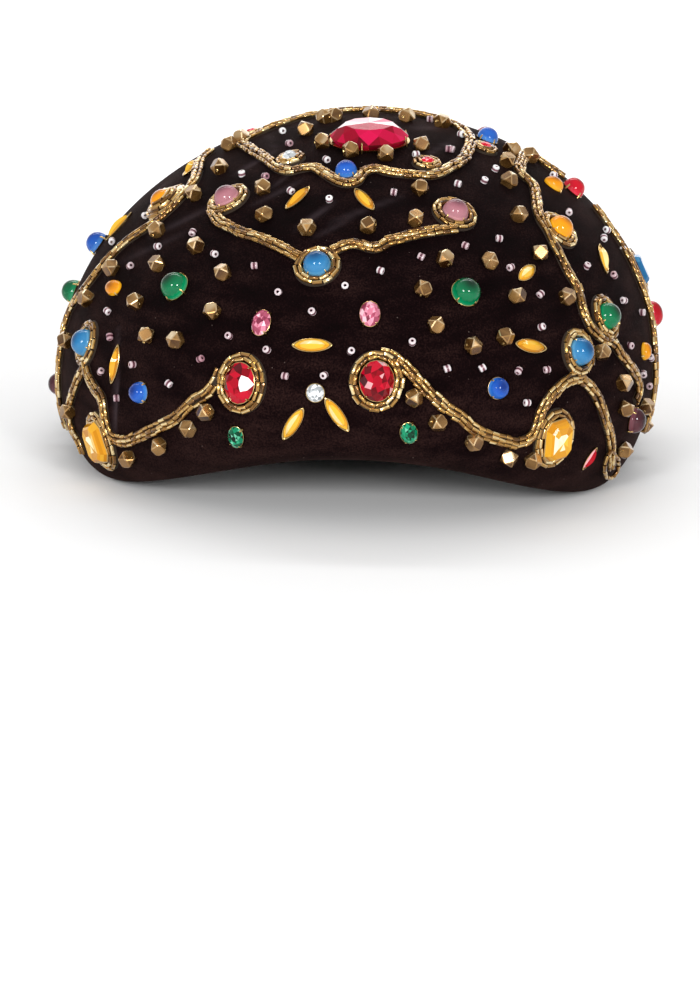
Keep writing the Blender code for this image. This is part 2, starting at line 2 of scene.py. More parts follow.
# # A velvet toque sewn with stones, nailheads and bugle beads
# The hat is a close crown of black velvet. Glass stones, faceted nailhead beads, seed beads and
# raised cords of gold bugle beads are sewn all over it. This lesson dresses its plain solid model
# in Blender. The solid model is loaded first. All shapes below are worked in millimetres, as a
# milliner would, and are turned to metres when a piece is finished.

# %% Load the solid model
import random
from math import cos, exp, pi, radians, sin

import bmesh
import bpy
from mathutils import Matrix, Vector, noise
from mathutils.bvhtree import BVHTree


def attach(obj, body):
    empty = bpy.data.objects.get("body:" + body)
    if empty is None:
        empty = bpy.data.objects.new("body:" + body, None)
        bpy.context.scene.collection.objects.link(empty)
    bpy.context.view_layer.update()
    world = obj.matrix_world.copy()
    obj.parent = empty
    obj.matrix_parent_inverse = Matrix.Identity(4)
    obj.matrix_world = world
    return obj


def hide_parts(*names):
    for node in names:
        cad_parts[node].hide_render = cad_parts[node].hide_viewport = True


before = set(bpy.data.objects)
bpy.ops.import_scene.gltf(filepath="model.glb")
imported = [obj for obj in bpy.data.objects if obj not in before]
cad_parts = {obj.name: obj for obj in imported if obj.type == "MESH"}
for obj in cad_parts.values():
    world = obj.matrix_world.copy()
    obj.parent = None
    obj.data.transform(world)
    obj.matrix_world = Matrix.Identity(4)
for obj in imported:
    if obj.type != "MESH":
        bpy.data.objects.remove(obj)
MM = 0.001
Z_AXIS = Vector((0, 0, 1))
HALF_TURN = Matrix.Rotation(pi, 3, "Z")
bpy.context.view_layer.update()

# %% [markdown]
# ## The front view as a chart
# Each stone and cord has its place on a chart of the front, 700 units wide and 981 high, as it is
# seen from a little above by an eye 1.5 m away. One could type in 3-D places instead, but a place
# on a chart is easier to read and to correct. Two functions turn places on the hat to places on
# the chart, and back to a line of sight.

# %% The chart's scale and direction
CHART_SIZE = (700, 981)
VIEW_FOCUS = Vector((0, 0, 50))
VIEW_CENTRE = (355.7, 291.8)
VIEW_UNITS_PER_MM = 3.2
VIEW_DISTANCE = 1500
VIEW_RISE = radians(12)
VIEW_ROLL = radians(1.37)
TO_THE_RIGHT = Vector((1, 0, 0))
UP_THE_CHART = Vector((0, sin(VIEW_RISE), cos(VIEW_RISE)))
TO_THE_EYE = Vector((0, -cos(VIEW_RISE), sin(VIEW_RISE)))
EYE = VIEW_FOCUS + TO_THE_EYE * VIEW_DISTANCE


def in_view(point):
    """Where a point is seen, as units across and down the chart."""
    arm = point - VIEW_FOCUS
    scale = VIEW_UNITS_PER_MM * VIEW_DISTANCE / (VIEW_DISTANCE - arm.dot(TO_THE_EYE))
    u, v = arm.dot(TO_THE_RIGHT) * scale, arm.dot(UP_THE_CHART) * scale
    across = VIEW_CENTRE[0] + u * cos(VIEW_ROLL) + v * sin(VIEW_ROLL)
    return across, VIEW_CENTRE[1] - v * cos(VIEW_ROLL) + u * sin(VIEW_ROLL)


def line_of_sight(across, down):
    """The direction from the eye through a place on the chart."""
    du, dv = across - VIEW_CENTRE[0], VIEW_CENTRE[1] - down
    u = (du * cos(VIEW_ROLL) - dv * sin(VIEW_ROLL)) / VIEW_UNITS_PER_MM
    v = (du * sin(VIEW_ROLL) + dv * cos(VIEW_ROLL)) / VIEW_UNITS_PER_MM
    return (VIEW_FOCUS + TO_THE_RIGHT * u + UP_THE_CHART * v - EYE).normalized()


print("chart:", CHART_SIZE, "the focus is seen at", in_view(VIEW_FOCUS))

# %% [markdown]
# ## The velvet crown
# The real crown is a stiff felt or buckram shape with velvet stretched over it and turned in at
# the rim. It could be sculpted, but a formula keeps it smooth and lets every other piece find its
# seat on it. The turn goes round the hat, and the climb goes from the rim up to the top. The
# wearer's forehead is left free by an arch in the front of the rim.

# %% The crown's formula
HALF_WIDTH = 92.6
HALF_LENGTH = 107.0
HEIGHT = 105.0
WIDEST_AT = 28.0
LEAN = 5.6
LEAN_CURVE = 1.25
FRONT_ARCH = 20.5
ARCH_HALF_TURN = radians(67.6)
ARCH_AT_WIDEST = 0.45
CURL_TURN = radians(60)
CURL_DEPTH = 0.17


def crown_point(turn, climb):
    """A point of the velvet: climb is -1 at the rim, 0 at the widest line and 1 at the top."""
    arch = FRONT_ARCH * cos(min(1, abs(turn) / ARCH_HALF_TURN) * pi / 2) ** 2
    if climb < 0:
        slope = -climb * CURL_TURN
        reach = 1 - CURL_DEPTH * (1 - cos(slope))
        height = WIDEST_AT * (1 - sin(slope) / sin(CURL_TURN))
        height += arch * (ARCH_AT_WIDEST + (1 - ARCH_AT_WIDEST) * -climb)
    else:
        shoulder = WIDEST_AT + ARCH_AT_WIDEST * arch
        reach = cos(climb * pi / 2)
        height = shoulder + (HEIGHT - shoulder) * sin(climb * pi / 2)
    lean = LEAN * (max(height, 0) / HEIGHT) ** LEAN_CURVE
    return Vector((HALF_WIDTH * reach * sin(turn) + lean, -HALF_LENGTH * reach * cos(turn), height))


def crown_facing(turn, climb):
    """Which way the velvet faces there, from two short steps along it."""
    step = 0.002
    climb = min(climb, 1 - 2 * step)
    round_it = crown_point(turn + step, climb) - crown_point(turn - step, climb)
    up_it = crown_point(turn, climb + step) - crown_point(turn, climb - step)
    return round_it.cross(up_it).normalized()


print("crown, in mm: front rim", crown_point(0, -1), "top", crown_point(0, 1))

# %% [markdown]
# Velvet on a worn hat isn't even. It shows faint slanting creases where the pile was pressed, and
# a seam near the left temple. A bump in the material would vanish at the outline, so the creases
# are shallow valleys in the mesh. Each is charted by its two ends, its width and its depth.

# %% Creases in the velvet
CREASES = (
    ((78, 219), (170, 182), 0.8, 0.30),
    ((150, 236), (214, 205), 0.8, 0.22),
    ((236, 173), (276, 149), 0.7, 0.30),
    ((276, 149), (262, 128), 0.7, 0.18),
    ((252, 205), (302, 180), 0.7, 0.22),
    ((296, 228), (334, 203), 0.8, 0.28),
    ((312, 238), (352, 218), 0.7, 0.16),
    ((330, 222), (402, 196), 0.8, 0.18),
    ((408, 128), (452, 127), 0.7, 0.22),
    ((416, 160), (458, 138), 0.7, 0.22),
    ((268, 190), (292, 172), 0.6, 0.18),
    ((120, 262), (186, 232), 0.8, 0.16),
    ((118, 328), (113, 458), 0.6, 0.40),
)
CREASE_END = 0.04  # the share of a crease in which it fades away
SWELL_SIZE = 22.0
SWELL_HEIGHT = 0.22


def crease_depth(point):
    """How deep the creases are at a point. The back has the front's creases, half a turn on."""
    if point.y > 0:
        point = Vector((-point.x, -point.y, point.z))
    across, down = in_view(point)
    depth = 0
    for (x0, y0), (x1, y1), width, deep in CREASES:
        run = Vector((x1 - x0, y1 - y0))
        arm = Vector((across - x0, down - y0))
        share = min(max(arm.dot(run) / run.length_squared, 0), 1)
        off = (arm - run * share).length / VIEW_UNITS_PER_MM
        fade = sin(pi * min(max(share, CREASE_END), 1 - CREASE_END)) ** 0.5
        depth += deep * fade * exp(-((off / width) ** 2))
    return depth


def velvet_point(turn, climb):
    """The crown's point with creases and the soft swell of the cloth, its facing and the crease."""
    smooth, facing = crown_point(turn, climb), crown_facing(turn, climb)
    swell = noise.noise(smooth / SWELL_SIZE) * SWELL_HEIGHT
    crease = crease_depth(smooth)
    return smooth + facing * (swell - crease), facing, crease


print("deepest crease, in mm:", max(deep for *_, deep in CREASES))

# %% [markdown]
# The crown is one closed mesh: rings of points climb the outside, a small roll turns the velvet
# under at the rim, and the lining climbs back up inside. A Solidify modifier would give the same
# wall, but it leaves a square edge where the real rim is soft and round.

# %% The velvet's mesh
WALL = 3.0
ROLL_STEPS = 10
ROLL_START = -0.968
SHORT_CLIMB = 0.01  # a step that shows which way is up at the rim
FLAT_REST = 0.12  # mm: how far the roll is pressed flat where the hat rests
COLUMNS = 420
OUTER_ROWS = 150
LINING_ROWS = 36


def crown_mesh():
    """The crown's corners in mm, its faces, its creases, and how many faces are the outside."""
    climbs = [1 - (1 - ROLL_START) * (row / OUTER_ROWS) for row in range(1, OUTER_ROWS + 1)]
    turns = [2 * pi * (column / COLUMNS - 0.5) for column in range(COLUMNS)]
    worked = [[velvet_point(turn, climb) for turn in turns] for climb in climbs]
    rings = [[place for place, _, _ in ring] for ring in worked]
    creases = [0.0] + [crease for ring in worked for _, _, crease in ring]
    for step in range(1, ROLL_STEPS + 1):
        angle = pi * step / ROLL_STEPS
        ring = []
        for turn, (place, facing, _) in zip(turns, worked[-1]):
            up_it = crown_point(turn, ROLL_START + SHORT_CLIMB) - crown_point(turn, ROLL_START)
            out = facing * (cos(angle) - 1) - up_it.normalized() * sin(angle)
            ring.append(place + out * WALL / 2)
        rings.append(ring)
    for row in range(1, LINING_ROWS):
        climb = ROLL_START + (1 - ROLL_START) * row / LINING_ROWS
        rings.append([crown_point(turn, climb) - crown_facing(turn, climb) * WALL
                      for turn in turns])
    corners = [velvet_point(0, 1)[0]]
    for ring in rings:
        corners += [Vector((p.x, p.y, max(p.z - FLAT_REST, 0))) for p in ring]
    corners.append(Vector((*crown_point(0, 1).xy, HEIGHT - WALL)))
    faces = [(1 + column, 1 + (column + 1) % COLUMNS, 0) for column in range(COLUMNS)]
    for row in range(len(rings) - 1):
        high, low = 1 + row * COLUMNS, 1 + (row + 1) * COLUMNS
        for column in range(COLUMNS):
            after = (column + 1) % COLUMNS
            faces.append((low + column, low + after, high + after, high + column))
    last, pole = 1 + (len(rings) - 1) * COLUMNS, len(corners) - 1
    faces += [(last + (column + 1) % COLUMNS, last + column, pole) for column in range(COLUMNS)]
    creases += [0.0] * (len(corners) - len(creases))
    return corners, faces, creases, OUTER_ROWS * COLUMNS


crown_corners, crown_faces, crown_creases, outside = crown_mesh()
VELVET = BVHTree.FromPolygons(crown_corners, crown_faces[:outside])
print("velvet:", len(crown_corners), "corners,", len(crown_faces), "faces")

# %% [markdown]
# ## Seats
# A seat is a place on the velvet and the way the velvet faces there. Stones, beads and cords are
# all sewn to seats. A ray is cast from the eye through a place on the chart, so a piece sits on
# the cloth whatever the cloth does. The back of the hat, which the chart doesn't show, is worked
# as the front is, half a turn round.

# %% Finding a seat
OUTLINE_PULL = 0.01  # how far a place past the outline is drawn in at each try
OUTLINE_PULLS = 10
ABOVE = HEIGHT / 4  # mm above a point, from where its seat is looked for
LEAN_STEP = 2.0  # chart units


def cast(across, down):
    """Where the line of sight through a place on the chart meets the velvet, and its facing."""
    return VELVET.ray_cast(EYE, line_of_sight(across, down))[:2]


def seen(across, down, lift=0):
    """The seat under something that stands lift above the velvet and is seen at this place."""
    for pull in range(OUTLINE_PULLS):
        share = 1 - pull * OUTLINE_PULL
        spot = [far * share + near * (1 - share) for far, near in zip((across, down), VIEW_CENTRE)]
        place, facing = cast(*spot)
        if place:
            break
    else:
        raise ValueError(f"nothing is seen at {across}, {down}")
    lifted = in_view(place + facing * lift)
    nearer = cast(2 * spot[0] - lifted[0], 2 * spot[1] - lifted[1])
    return nearer if nearer[0] else (place, facing)


def toward(point, facing):
    """The seat below a point, looking down along a direction."""
    return VELVET.ray_cast(point + facing * ABOVE, -facing)[:2]


def at_height(turn, height):
    """The seat at a turn from the front, in degrees, and a height."""
    outward = Vector((sin(radians(turn)), -cos(radians(turn)), 0))
    return VELVET.ray_cast(outward * 2 * HALF_LENGTH + height * Z_AXIS, -outward)[:2]


def behind(seat):
    """The same seat half a turn round the crown."""
    return toward(HALF_TURN @ seat[0], HALF_TURN @ seat[1])


def standing(seat, along, rise=0.0):
    """The matrix that stands a form on a seat, its Y along the given way and its base risen."""
    place, facing = seat
    long_way = (along - facing * along.dot(facing)).normalized()
    turn = Matrix((long_way.cross(facing), long_way, facing)).transposed().to_4x4()
    return Matrix.Translation(place + facing * rise) @ turn


def lean_of(seat, lean):
    """The way along the velvet that is seen to lean so far clockwise from upright."""
    across, down = in_view(seat[0])
    aside, up = LEAN_STEP * sin(radians(lean)), LEAN_STEP * cos(radians(lean))
    ahead, past = (cast(across + way * aside, down - way * up)[0] for way in (1, -1))
    return (ahead or seat[0]) - (past or seat[0]) if ahead or past else UP_THE_CHART


print("seat of the top stone:", seen(369, 134))

# %% [markdown]
# ## Forms
# Most pieces here are small and repeat: thousands of bugle beads, a hundred nailheads, forty
# stones. Instances would keep the file light, but joined meshes export simply and count as one
# piece. So a small class gathers corners and faces, and adds one form to another through a matrix.
# Every face also carries a tone from 0 to 1, which its material reads as deep to bright, so that
# each facet and each bead can differ without a material of its own. Many of these tones are painted
# light and shade.

# %% A form to gather corners and faces in
class Form:
    def __init__(self):
        self.corners, self.faces, self.finishes, self.tones = [], [], [], []

    def face(self, corners, tones, finish=0):
        """Adds a face with one tone, or with a tone for each corner."""
        self.faces.append(tuple(corners))
        self.finishes.append(finish)
        self.tones.append(tones if isinstance(tones, tuple) else (tones,) * len(self.faces[-1]))

    def ring(self, places):
        """Adds a ring of corners and gives their numbers."""
        start = len(self.corners)
        self.corners += [Vector(place) for place in places]
        return range(start, len(self.corners))

    def wall(self, low, high, tone_at, finish=0):
        """Joins two rings by faces. Each side's tone comes from its number."""
        for side in range(len(low)):
            after = (side + 1) % len(low)
            corners = low[side], low[after], high[after], high[side]
            self.face(corners, tone_at(side), finish)

    def add(self, other, matrix=Matrix(), finish=None, shift=0.0):
        """Adds a copy of another form, stood by a matrix, with its tones shifted."""
        start = len(self.corners)
        self.corners += [matrix @ corner for corner in other.corners]
        self.faces += [tuple(start + corner for corner in face) for face in other.faces]
        self.finishes += other.finishes if finish is None else [finish] * len(other.faces)
        self.tones += [tuple(min(max(tone + shift, 0), 1) for tone in tones)
                       for tones in other.tones]
        return self


def dress(name, form, materials, replaced=(), matrix=None, sharp=40):
    """Makes a form into a finished piece that rides with the hat."""
    mesh = bpy.data.meshes.new(name)
    mesh.from_pydata([corner * MM for corner in form.corners], [], form.faces)
    tone = mesh.attributes.new("tone", "FLOAT", "CORNER")
    tone.data.foreach_set("value", [value for face in form.tones for value in face])
    for material in materials:
        mesh.materials.append(material)
    mesh.polygons.foreach_set("material_index", form.finishes)
    mesh.update()
    mesh.shade_smooth()
    mesh.set_sharp_from_angle(angle=radians(sharp))
    piece = bpy.data.objects.new(name, mesh)
    bpy.context.scene.collection.objects.link(piece)
    if matrix is not None:
        piece.matrix_world = matrix
        piece.matrix_world.translation *= MM
    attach(piece, "root")
    if replaced:
        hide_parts(*replaced)
    return piece


# %% [markdown]
# Nearly all of the forms are rings laid over each other: a dome, a bead with its hole, a claw, a
# setting. Blender's Screw modifier or Spin tool turns such a profile too, but only to circles. So
# one function raises a profile over any outline, such as an oval or a rectangle with cut corners.

# %% Raising a profile over an outline
def ellipse(wide, long, sides, pinch=0.0):
    """An oval outline, which a pinch above 0 draws to two points."""
    spots = []
    for side in range(sides):
        angle = 2 * pi * side / sides
        spots.append((wide / 2 * cos(angle) * abs(cos(angle)) ** pinch, long / 2 * sin(angle)))
    return spots


def raised(outline, profile, finish=0, tone_of=None):
    """Raises rings over an outline. The profile lists (share of the outline, height, tone), and
    a share of 0 closes the form. tone_of, if given, tints a corner by its place instead."""
    form = Form()
    rings = []
    for share, height, *tone in profile:
        spots = [(0, 0)] if share == 0 else [(x * share, y * share) for x, y in outline]
        ring = form.ring([(*spot, height) for spot in spots])
        rings.append([(corner, tone_of(*spot, share) if tone_of else tone[0])
                      for corner, spot in zip(ring, spots)])
    sides = len(outline)
    for low, high in zip(rings, rings[1:]):
        for side in range(sides):
            after = (side + 1) % sides
            picks = list(dict.fromkeys((low[side % len(low)], low[after % len(low)],
                                        high[after % len(high)], high[side % len(high)])))
            if len(picks) > 2:
                form.face([corner for corner, _ in picks], tuple(tone for _, tone in picks), finish)
    return form


def lying(form):
    """The form laid down, so that what stood along Z lies along Y."""
    return Form().add(form, Matrix.Rotation(-pi / 2, 4, "X"))


print("corners of a 12-sided oval:", len(ellipse(2, 3, 12)))

# %% [markdown]
# ## Colours and nodes
# Colours are written as the sRGB hex values that one reads from a paint card, and Blender's
# shaders want linear light, so one function converts them. A second adds a node with its settings
# and links, and a third makes a Principled surface whose colour follows the tones of the faces.

# %% Colour and node helpers
def linear(hex_colour):
    """A hex colour such as #aa3311 as linear red, green, blue and alpha."""
    shares = [int(hex_colour[place:place + 2], 16) / 255 for place in (1, 3, 5)]
    return (*[s / 12.92 if s <= 0.04045 else ((s + 0.055) / 1.055) ** 2.4 for s in shares], 1)


def add_node(tree, kind, values=None, links=None, **settings):
    """Adds a node, and sets its settings, the values of its sockets and the links into it."""
    node = tree.nodes.new(kind)
    for setting, value in settings.items():
        setattr(node, setting, value)
    for socket, value in (values or {}).items():
        node.inputs[socket].default_value = value
    for socket, source in (links or {}).items():
        tree.links.new(source, node.inputs[socket])
    return node


def surface(name, **values):
    """A material with a Principled surface, whose sockets are set by their names."""
    material = bpy.data.materials.new(name)
    material.use_nodes = True
    shader = material.node_tree.nodes["Principled BSDF"]
    for socket, value in values.items():
        shader.inputs[socket.replace("_", " ")].default_value = value
    return material, material.node_tree, shader


def ramp(tree, source, stops):
    """A colour ramp over a value: stops are (place, hex colour)."""
    node = add_node(tree, "ShaderNodeValToRGB", links={"Fac": source})
    bands = node.color_ramp.elements
    while len(bands) < len(stops):
        bands.new(0.5)
    for band, (place, colour) in zip(bands, stops):
        band.position = place
        band.color = linear(colour)
    return node.outputs["Color"]


def toned(name, stops, **values):
    """A material whose colour follows the tone of each face from deep to bright."""
    material, tree, shader = surface(name, **values)
    tone = add_node(tree, "ShaderNodeAttribute", attribute_name="tone")
    tree.links.new(ramp(tree, tone.outputs["Fac"], stops), shader.inputs["Base Color"])
    return material


print("white in linear light:", linear("#ffffff"))

# %% [markdown]
# ## Velvet
# Black silk or rayon velvet is a woven ground with a cut pile about 1 mm high. The pile swallows
# light that falls straight in and returns a little at grazing angles, so velvet is darkest where
# it faces us and slightly lighter at its edges. Real hairs would take millions of strands. The
# Principled sheen gives the same soft edge light, a fine noise of pile-tuft size roughens the
# face, and larger patches show where the pile was brushed. Worn velvet also catches pale lint,
# which a second, sparse pattern adds. Two marks are painted light: the velvet is painted paler
# towards the rim, and paler along its creases, a painted sheen.

# %% The velvet's material
PILE_TUFT = 0.5  # mm: real tufts are near 0.3 mm, drawn a little coarser so that they show
PILE_RELIEF = 0.3  # mm
PILE_STOPS = ((0.38, "#030101"), (0.55, "#0d0304"), (0.78, "#271715"))
TUFT_CONTRAST = 0.30
BRUSHED_PATCH = 16.0  # mm
BRUSHED_TURN = (0.3, 0.9, 0.2)  # radians: the patches slant as a hand brushes
BRUSHED_STRETCH = (1, 1, 3)
PAINTED_LIGHT_BELOW = 60.0  # mm: from here down to the rim the velvet is painted paler, a painted light
PAINTED_LIGHT_PALER = 0.14
LINT_SPACING = 3.0  # mm
LINT_SIZE = 0.16  # mm, half the length of a fibre speck
LINT_SHARE = 0.30  # of the places for a speck hold one
# Painted sheen: how much paler the velvet is painted along its creases.
CREASE_SHEEN_PAINTED = 0.60
FACTOR, FIRST, SECOND, MIXED = 0, 6, 7, 2  # the colour sockets of a Mix node, by their order

velvet, tree, shader = surface(
    "cut_pile_black_velvet", Roughness=0.95, Specular_IOR_Level=0.05, Sheen_Weight=0.15,
    Sheen_Roughness=0.30, Sheen_Tint=linear("#6e4c42"))
places = add_node(tree, "ShaderNodeTexCoord").outputs["Object"]
tufts = add_node(tree, "ShaderNodeTexNoise", {"Scale": 1 / (PILE_TUFT * MM), "Detail": 2.0},
                 {"Vector": places})
slanted = add_node(tree, "ShaderNodeMapping",
                   {"Rotation": BRUSHED_TURN, "Scale": BRUSHED_STRETCH}, {"Vector": places})
patches = add_node(tree, "ShaderNodeTexNoise", {"Scale": 1 / (BRUSHED_PATCH * MM), "Detail": 5.0},
                   {"Vector": slanted.outputs["Vector"]})
tint = add_node(tree, "ShaderNodeMath", {2: TUFT_CONTRAST}, {0: tufts.outputs["Fac"],
                1: patches.outputs["Fac"]}, operation="MULTIPLY_ADD")
height = add_node(tree, "ShaderNodeSeparateXYZ", links={"Vector": places})
# Painted light: the velvet is painted paler from this height down to the rim.
painted_low_light = add_node(tree, "ShaderNodeMapRange", {"From Min": PAINTED_LIGHT_BELOW * MM, "From Max": 0.0,
                  "To Min": 0.0, "To Max": PAINTED_LIGHT_PALER}, {"Value": height.outputs["Z"]})
tint = add_node(tree, "ShaderNodeMath", links={0: tint.outputs["Value"],
                1: painted_low_light.outputs["Result"]}, operation="ADD")
pile = ramp(tree, tint.outputs["Value"], PILE_STOPS)
specks = add_node(tree, "ShaderNodeTexVoronoi", {"Scale": 1 / (LINT_SPACING * MM)},
                  {"Vector": places})
speck = add_node(tree, "ShaderNodeMath", {1: LINT_SIZE / LINT_SPACING},
                 {0: specks.outputs["Distance"]}, operation="LESS_THAN")
chosen = add_node(tree, "ShaderNodeSeparateColor", links={"Color": specks.outputs["Color"]})
rare = add_node(tree, "ShaderNodeMath", {1: LINT_SHARE}, {0: chosen.outputs["Red"]},
                operation="LESS_THAN")
lint = add_node(tree, "ShaderNodeMath", links={0: speck.outputs["Value"], 1: rare.outputs["Value"]},
                operation="MULTIPLY")
colour = add_node(tree, "ShaderNodeMix", {SECOND: linear("#5d504b")},
                  {FACTOR: lint.outputs["Value"], FIRST: pile}, data_type="RGBA")
# Painted sheen: the velvet is painted paler towards #453a3e along its creases, by their depth.
crease_sheen_tone = add_node(tree, "ShaderNodeAttribute", attribute_name="tone")
painted_crease_sheen = add_node(tree, "ShaderNodeMath", {1: CREASE_SHEEN_PAINTED}, {0: crease_sheen_tone.outputs["Fac"]},
                  operation="MULTIPLY")
colour = add_node(tree, "ShaderNodeMix", {SECOND: linear("#453a3e")},
                  {FACTOR: painted_crease_sheen.outputs["Value"], FIRST: colour.outputs[MIXED]},
                  data_type="RGBA")
tree.links.new(colour.outputs[MIXED], shader.inputs["Base Color"])
bump = add_node(tree, "ShaderNodeBump", {"Strength": 0.5, "Distance": PILE_RELIEF * MM},
                {"Height": tufts.outputs["Fac"]})
tree.links.new(bump.outputs["Normal"], shader.inputs["Normal"])
print("velvet tufts per metre:", 1 / (PILE_TUFT * MM))

# %% [markdown]
# ## Metals and beads
# The nailhead beads are brown glass under a bronze lustre, a metal film thin enough to keep the
# depth of the glass. The settings are plated brass. Bugle beads are short cut tubes of clear glass
# whose hole is lined with gold, so each one shows a metal colour through a glassy skin: a metallic
# surface under a clear coat. Seed beads are tiny glass tubes lined with pink.

# %% Lustred glass, brass, bugle glass and seed glass
lustred_glass = toned("bronze_lustred_glass",
                      ((0.0, "#47280e"), (0.35, "#7c582b"), (0.62, "#a87f49"), (1.0, "#f5e2bc")),
                      Metallic=0.7, Roughness=0.24, Coat_Weight=0.4, Coat_Roughness=0.05)
setting_brass = toned("pressed_plated_brass", ((0.0, "#54401f"), (1.0, "#d2b276")),
                      Metallic=1.0, Roughness=0.25)
bugle_glass = toned("gold_lined_bugle_glass",
                    ((0.0, "#301c09"), (0.35, "#7c5424"), (0.7, "#bf9248"), (1.0, "#f5dfaa")),
                    Metallic=0.80, Roughness=0.18, Coat_Weight=0.5, Coat_Roughness=0.04)
padding_thread = toned("brown_padding_thread", ((0.0, "#1c120a"), (1.0, "#34230f")), Roughness=0.9)
seed_glass = toned("pink_lined_seed_glass",
                   ((0.0, "#582f3a"), (0.5, "#b2808b"), (0.8, "#dcc8cc"), (1.0, "#ffffff")),
                   Roughness=0.04, Transmission_Weight=0.20)
print("bead and metal finishes:", lustred_glass.name, bugle_glass.name, seed_glass.name)

# %% [markdown]
# ## Glass stones
# The stones are pressed and cut glass with foil behind them. Light goes in, strikes the foil and
# comes out coloured, and each facet shows another part of the foil. Fully clear glass with real
# foil below it would need many bounces of light. Here each facet has its own painted tone of the
# glass colour instead, painted reflections of the foil from deep to a painted white flash, under a
# polished surface that reflects the lights for real.

# %% The colours of the glass
# The last colour of each glass is its painted white flash.
GLASS_STOPS = {
    "ruby": ("#1a0006", "#7a000f", "#bd0a28", "#ffeef0"),
    "raspberry": ("#2a0008", "#9c0a28", "#e2195a", "#fdf2f4"),
    "topaz": ("#6b3702", "#ca8512", "#ecbb3a", "#fff6cc"),
    "green": ("#00150a", "#015f39", "#0a8c58", "#bff2dc"),
    "emerald": ("#00120a", "#045236", "#14966a", "#aaf0d6"),
    "sky": ("#0a3a66", "#226da0", "#5a9ac2", "#dceaf4"),
    "royal": ("#04236a", "#154fae", "#3f80d2", "#d3e6fb"),
    "pink": ("#57303a", "#9b626c", "#c8929a", "#fbe8ea"),
    "rose": ("#661c31", "#b5546e", "#de8fa4", "#fff2f5"),
    "amber": ("#8a4a00", "#df8b02", "#f6b020", "#fff0b8"),
    "amethyst": ("#1e0b10", "#472028", "#7e4b55", "#d8b8bd"),
    "clear": ("#33383b", "#8a8f92", "#d8dcde", "#ffffff"),
    "red": ("#46000a", "#b40018", "#d91233", "#ffc8ce"),
}
GLASS_IOR = 1.52
TONE_PLACES = (0.0, 0.4, 0.75, 1.0)
CUT_SHINE = 0.24
MOULDED_SHINE = 0.3  # smooth domes shine most
SHINES = dict.fromkeys(("green", "sky", "royal", "pink", "amber", "amethyst", "red"), MOULDED_SHINE)
SHINES["raspberry"] = 0.12  # the top stone lies flat and would mirror the whole room
GLASS = {}
for colour, colours in GLASS_STOPS.items():
    GLASS[colour] = toned(f"foiled_{colour}_glass", tuple(zip(TONE_PLACES, colours)),
                          Roughness=0.03, IOR=GLASS_IOR,
                          Specular_IOR_Level=SHINES.get(colour, CUT_SHINE))
print("glass colours:", ", ".join(GLASS))

# %% [markdown]
# ## The crown is dressed
# Now the velvet mesh becomes a piece that stands for the solid crown. Pile pressed into a crease
# catches a paler sheen, and here that sheen is painted. Its place could be painted by hand, but
# the depth of each crease is known, so that depth is handed on to the material as the tone of
# each corner, and the material paints the crease paler.

# %% The velvet piece
CREASE_SHEEN_FULL = 0.4  # mm: how deep a crease is where its painted sheen is full
crown = Form()
crown.corners = crown_corners
for corners in crown_faces:
    crown.face(corners, tuple(min(crown_creases[corner] / CREASE_SHEEN_FULL, 1) for corner in corners))
dress("velvet_shell", crown, [velvet], ["velvet_crown"])
print("velvet piece dressed")

# %% [markdown]
# ## Cut and moulded stones
# Round stones are cabochons: smooth moulded domes. The others are cut. An oval brilliant has a
# flat table, stars round it, kites, and a row of small triangles along its edge. A step cut is a
# rectangle with cut corners and straight steps. A rose cut has rings of triangles. A navette is a
# long stone pointed at both ends. Each is built here from its real facets.

# %% Cabochons
draw = random.Random(7)
CABOCHON_SHARE = 0.62  # height over width
DOME_STEPS = 12
ROUND_SIDES = 36
# The deepest tone, in the dome's upper middle, is a painted shade.
DEEPEST = 0.05
PAINTED_LOW_GLOW = 0.42  # painted light, paler low down in the dome, where light would gather
# Painted light along the dome's rim.
PAINTED_RIM_GLOW = 0.30


def smooth_step(low, high, value):
    share = min(max((value - low) / (high - low), 0), 1)
    return share * share * (3 - 2 * share)


def cabochon(wide, long):
    """A smooth dome with painted light: pale at its rim and low in it, deep in its upper middle."""
    def tone_of(x, y, share):
        radius = ((2 * x / wide) ** 2 + (2 * y / long) ** 2) ** 0.5
        drop = ((2 * x / wide) ** 2 + (2 * y / long - 0.25) ** 2) ** 0.5
        glow = PAINTED_LOW_GLOW * smooth_step(0.1, 1.0, drop)
        return DEEPEST + glow + PAINTED_RIM_GLOW * smooth_step(0.93, 1.0, radius)
    height = CABOCHON_SHARE * wide
    profile = [(0, 0), (0.96, 0), (1, 0.10 * height)]
    for step in range(1, DOME_STEPS):
        angle = pi / 2 * step / DOME_STEPS
        profile.append((cos(angle) ** 0.9, height * (0.12 + 0.88 * sin(angle))))
    profile.append((0, height))
    return raised(ellipse(wide, long, ROUND_SIDES), profile, tone_of=tone_of)


print("a cabochon has", len(cabochon(8, 8).faces), "faces")

# %% Brilliant and rose cuts
KITES_OUT, KITES_UP = 0.80, 0.74  # shares of half the stone's width and of its height
EDGE_UP = 0.38
BASE_OUT = 0.86
UNSEEN_TONE = 0.1


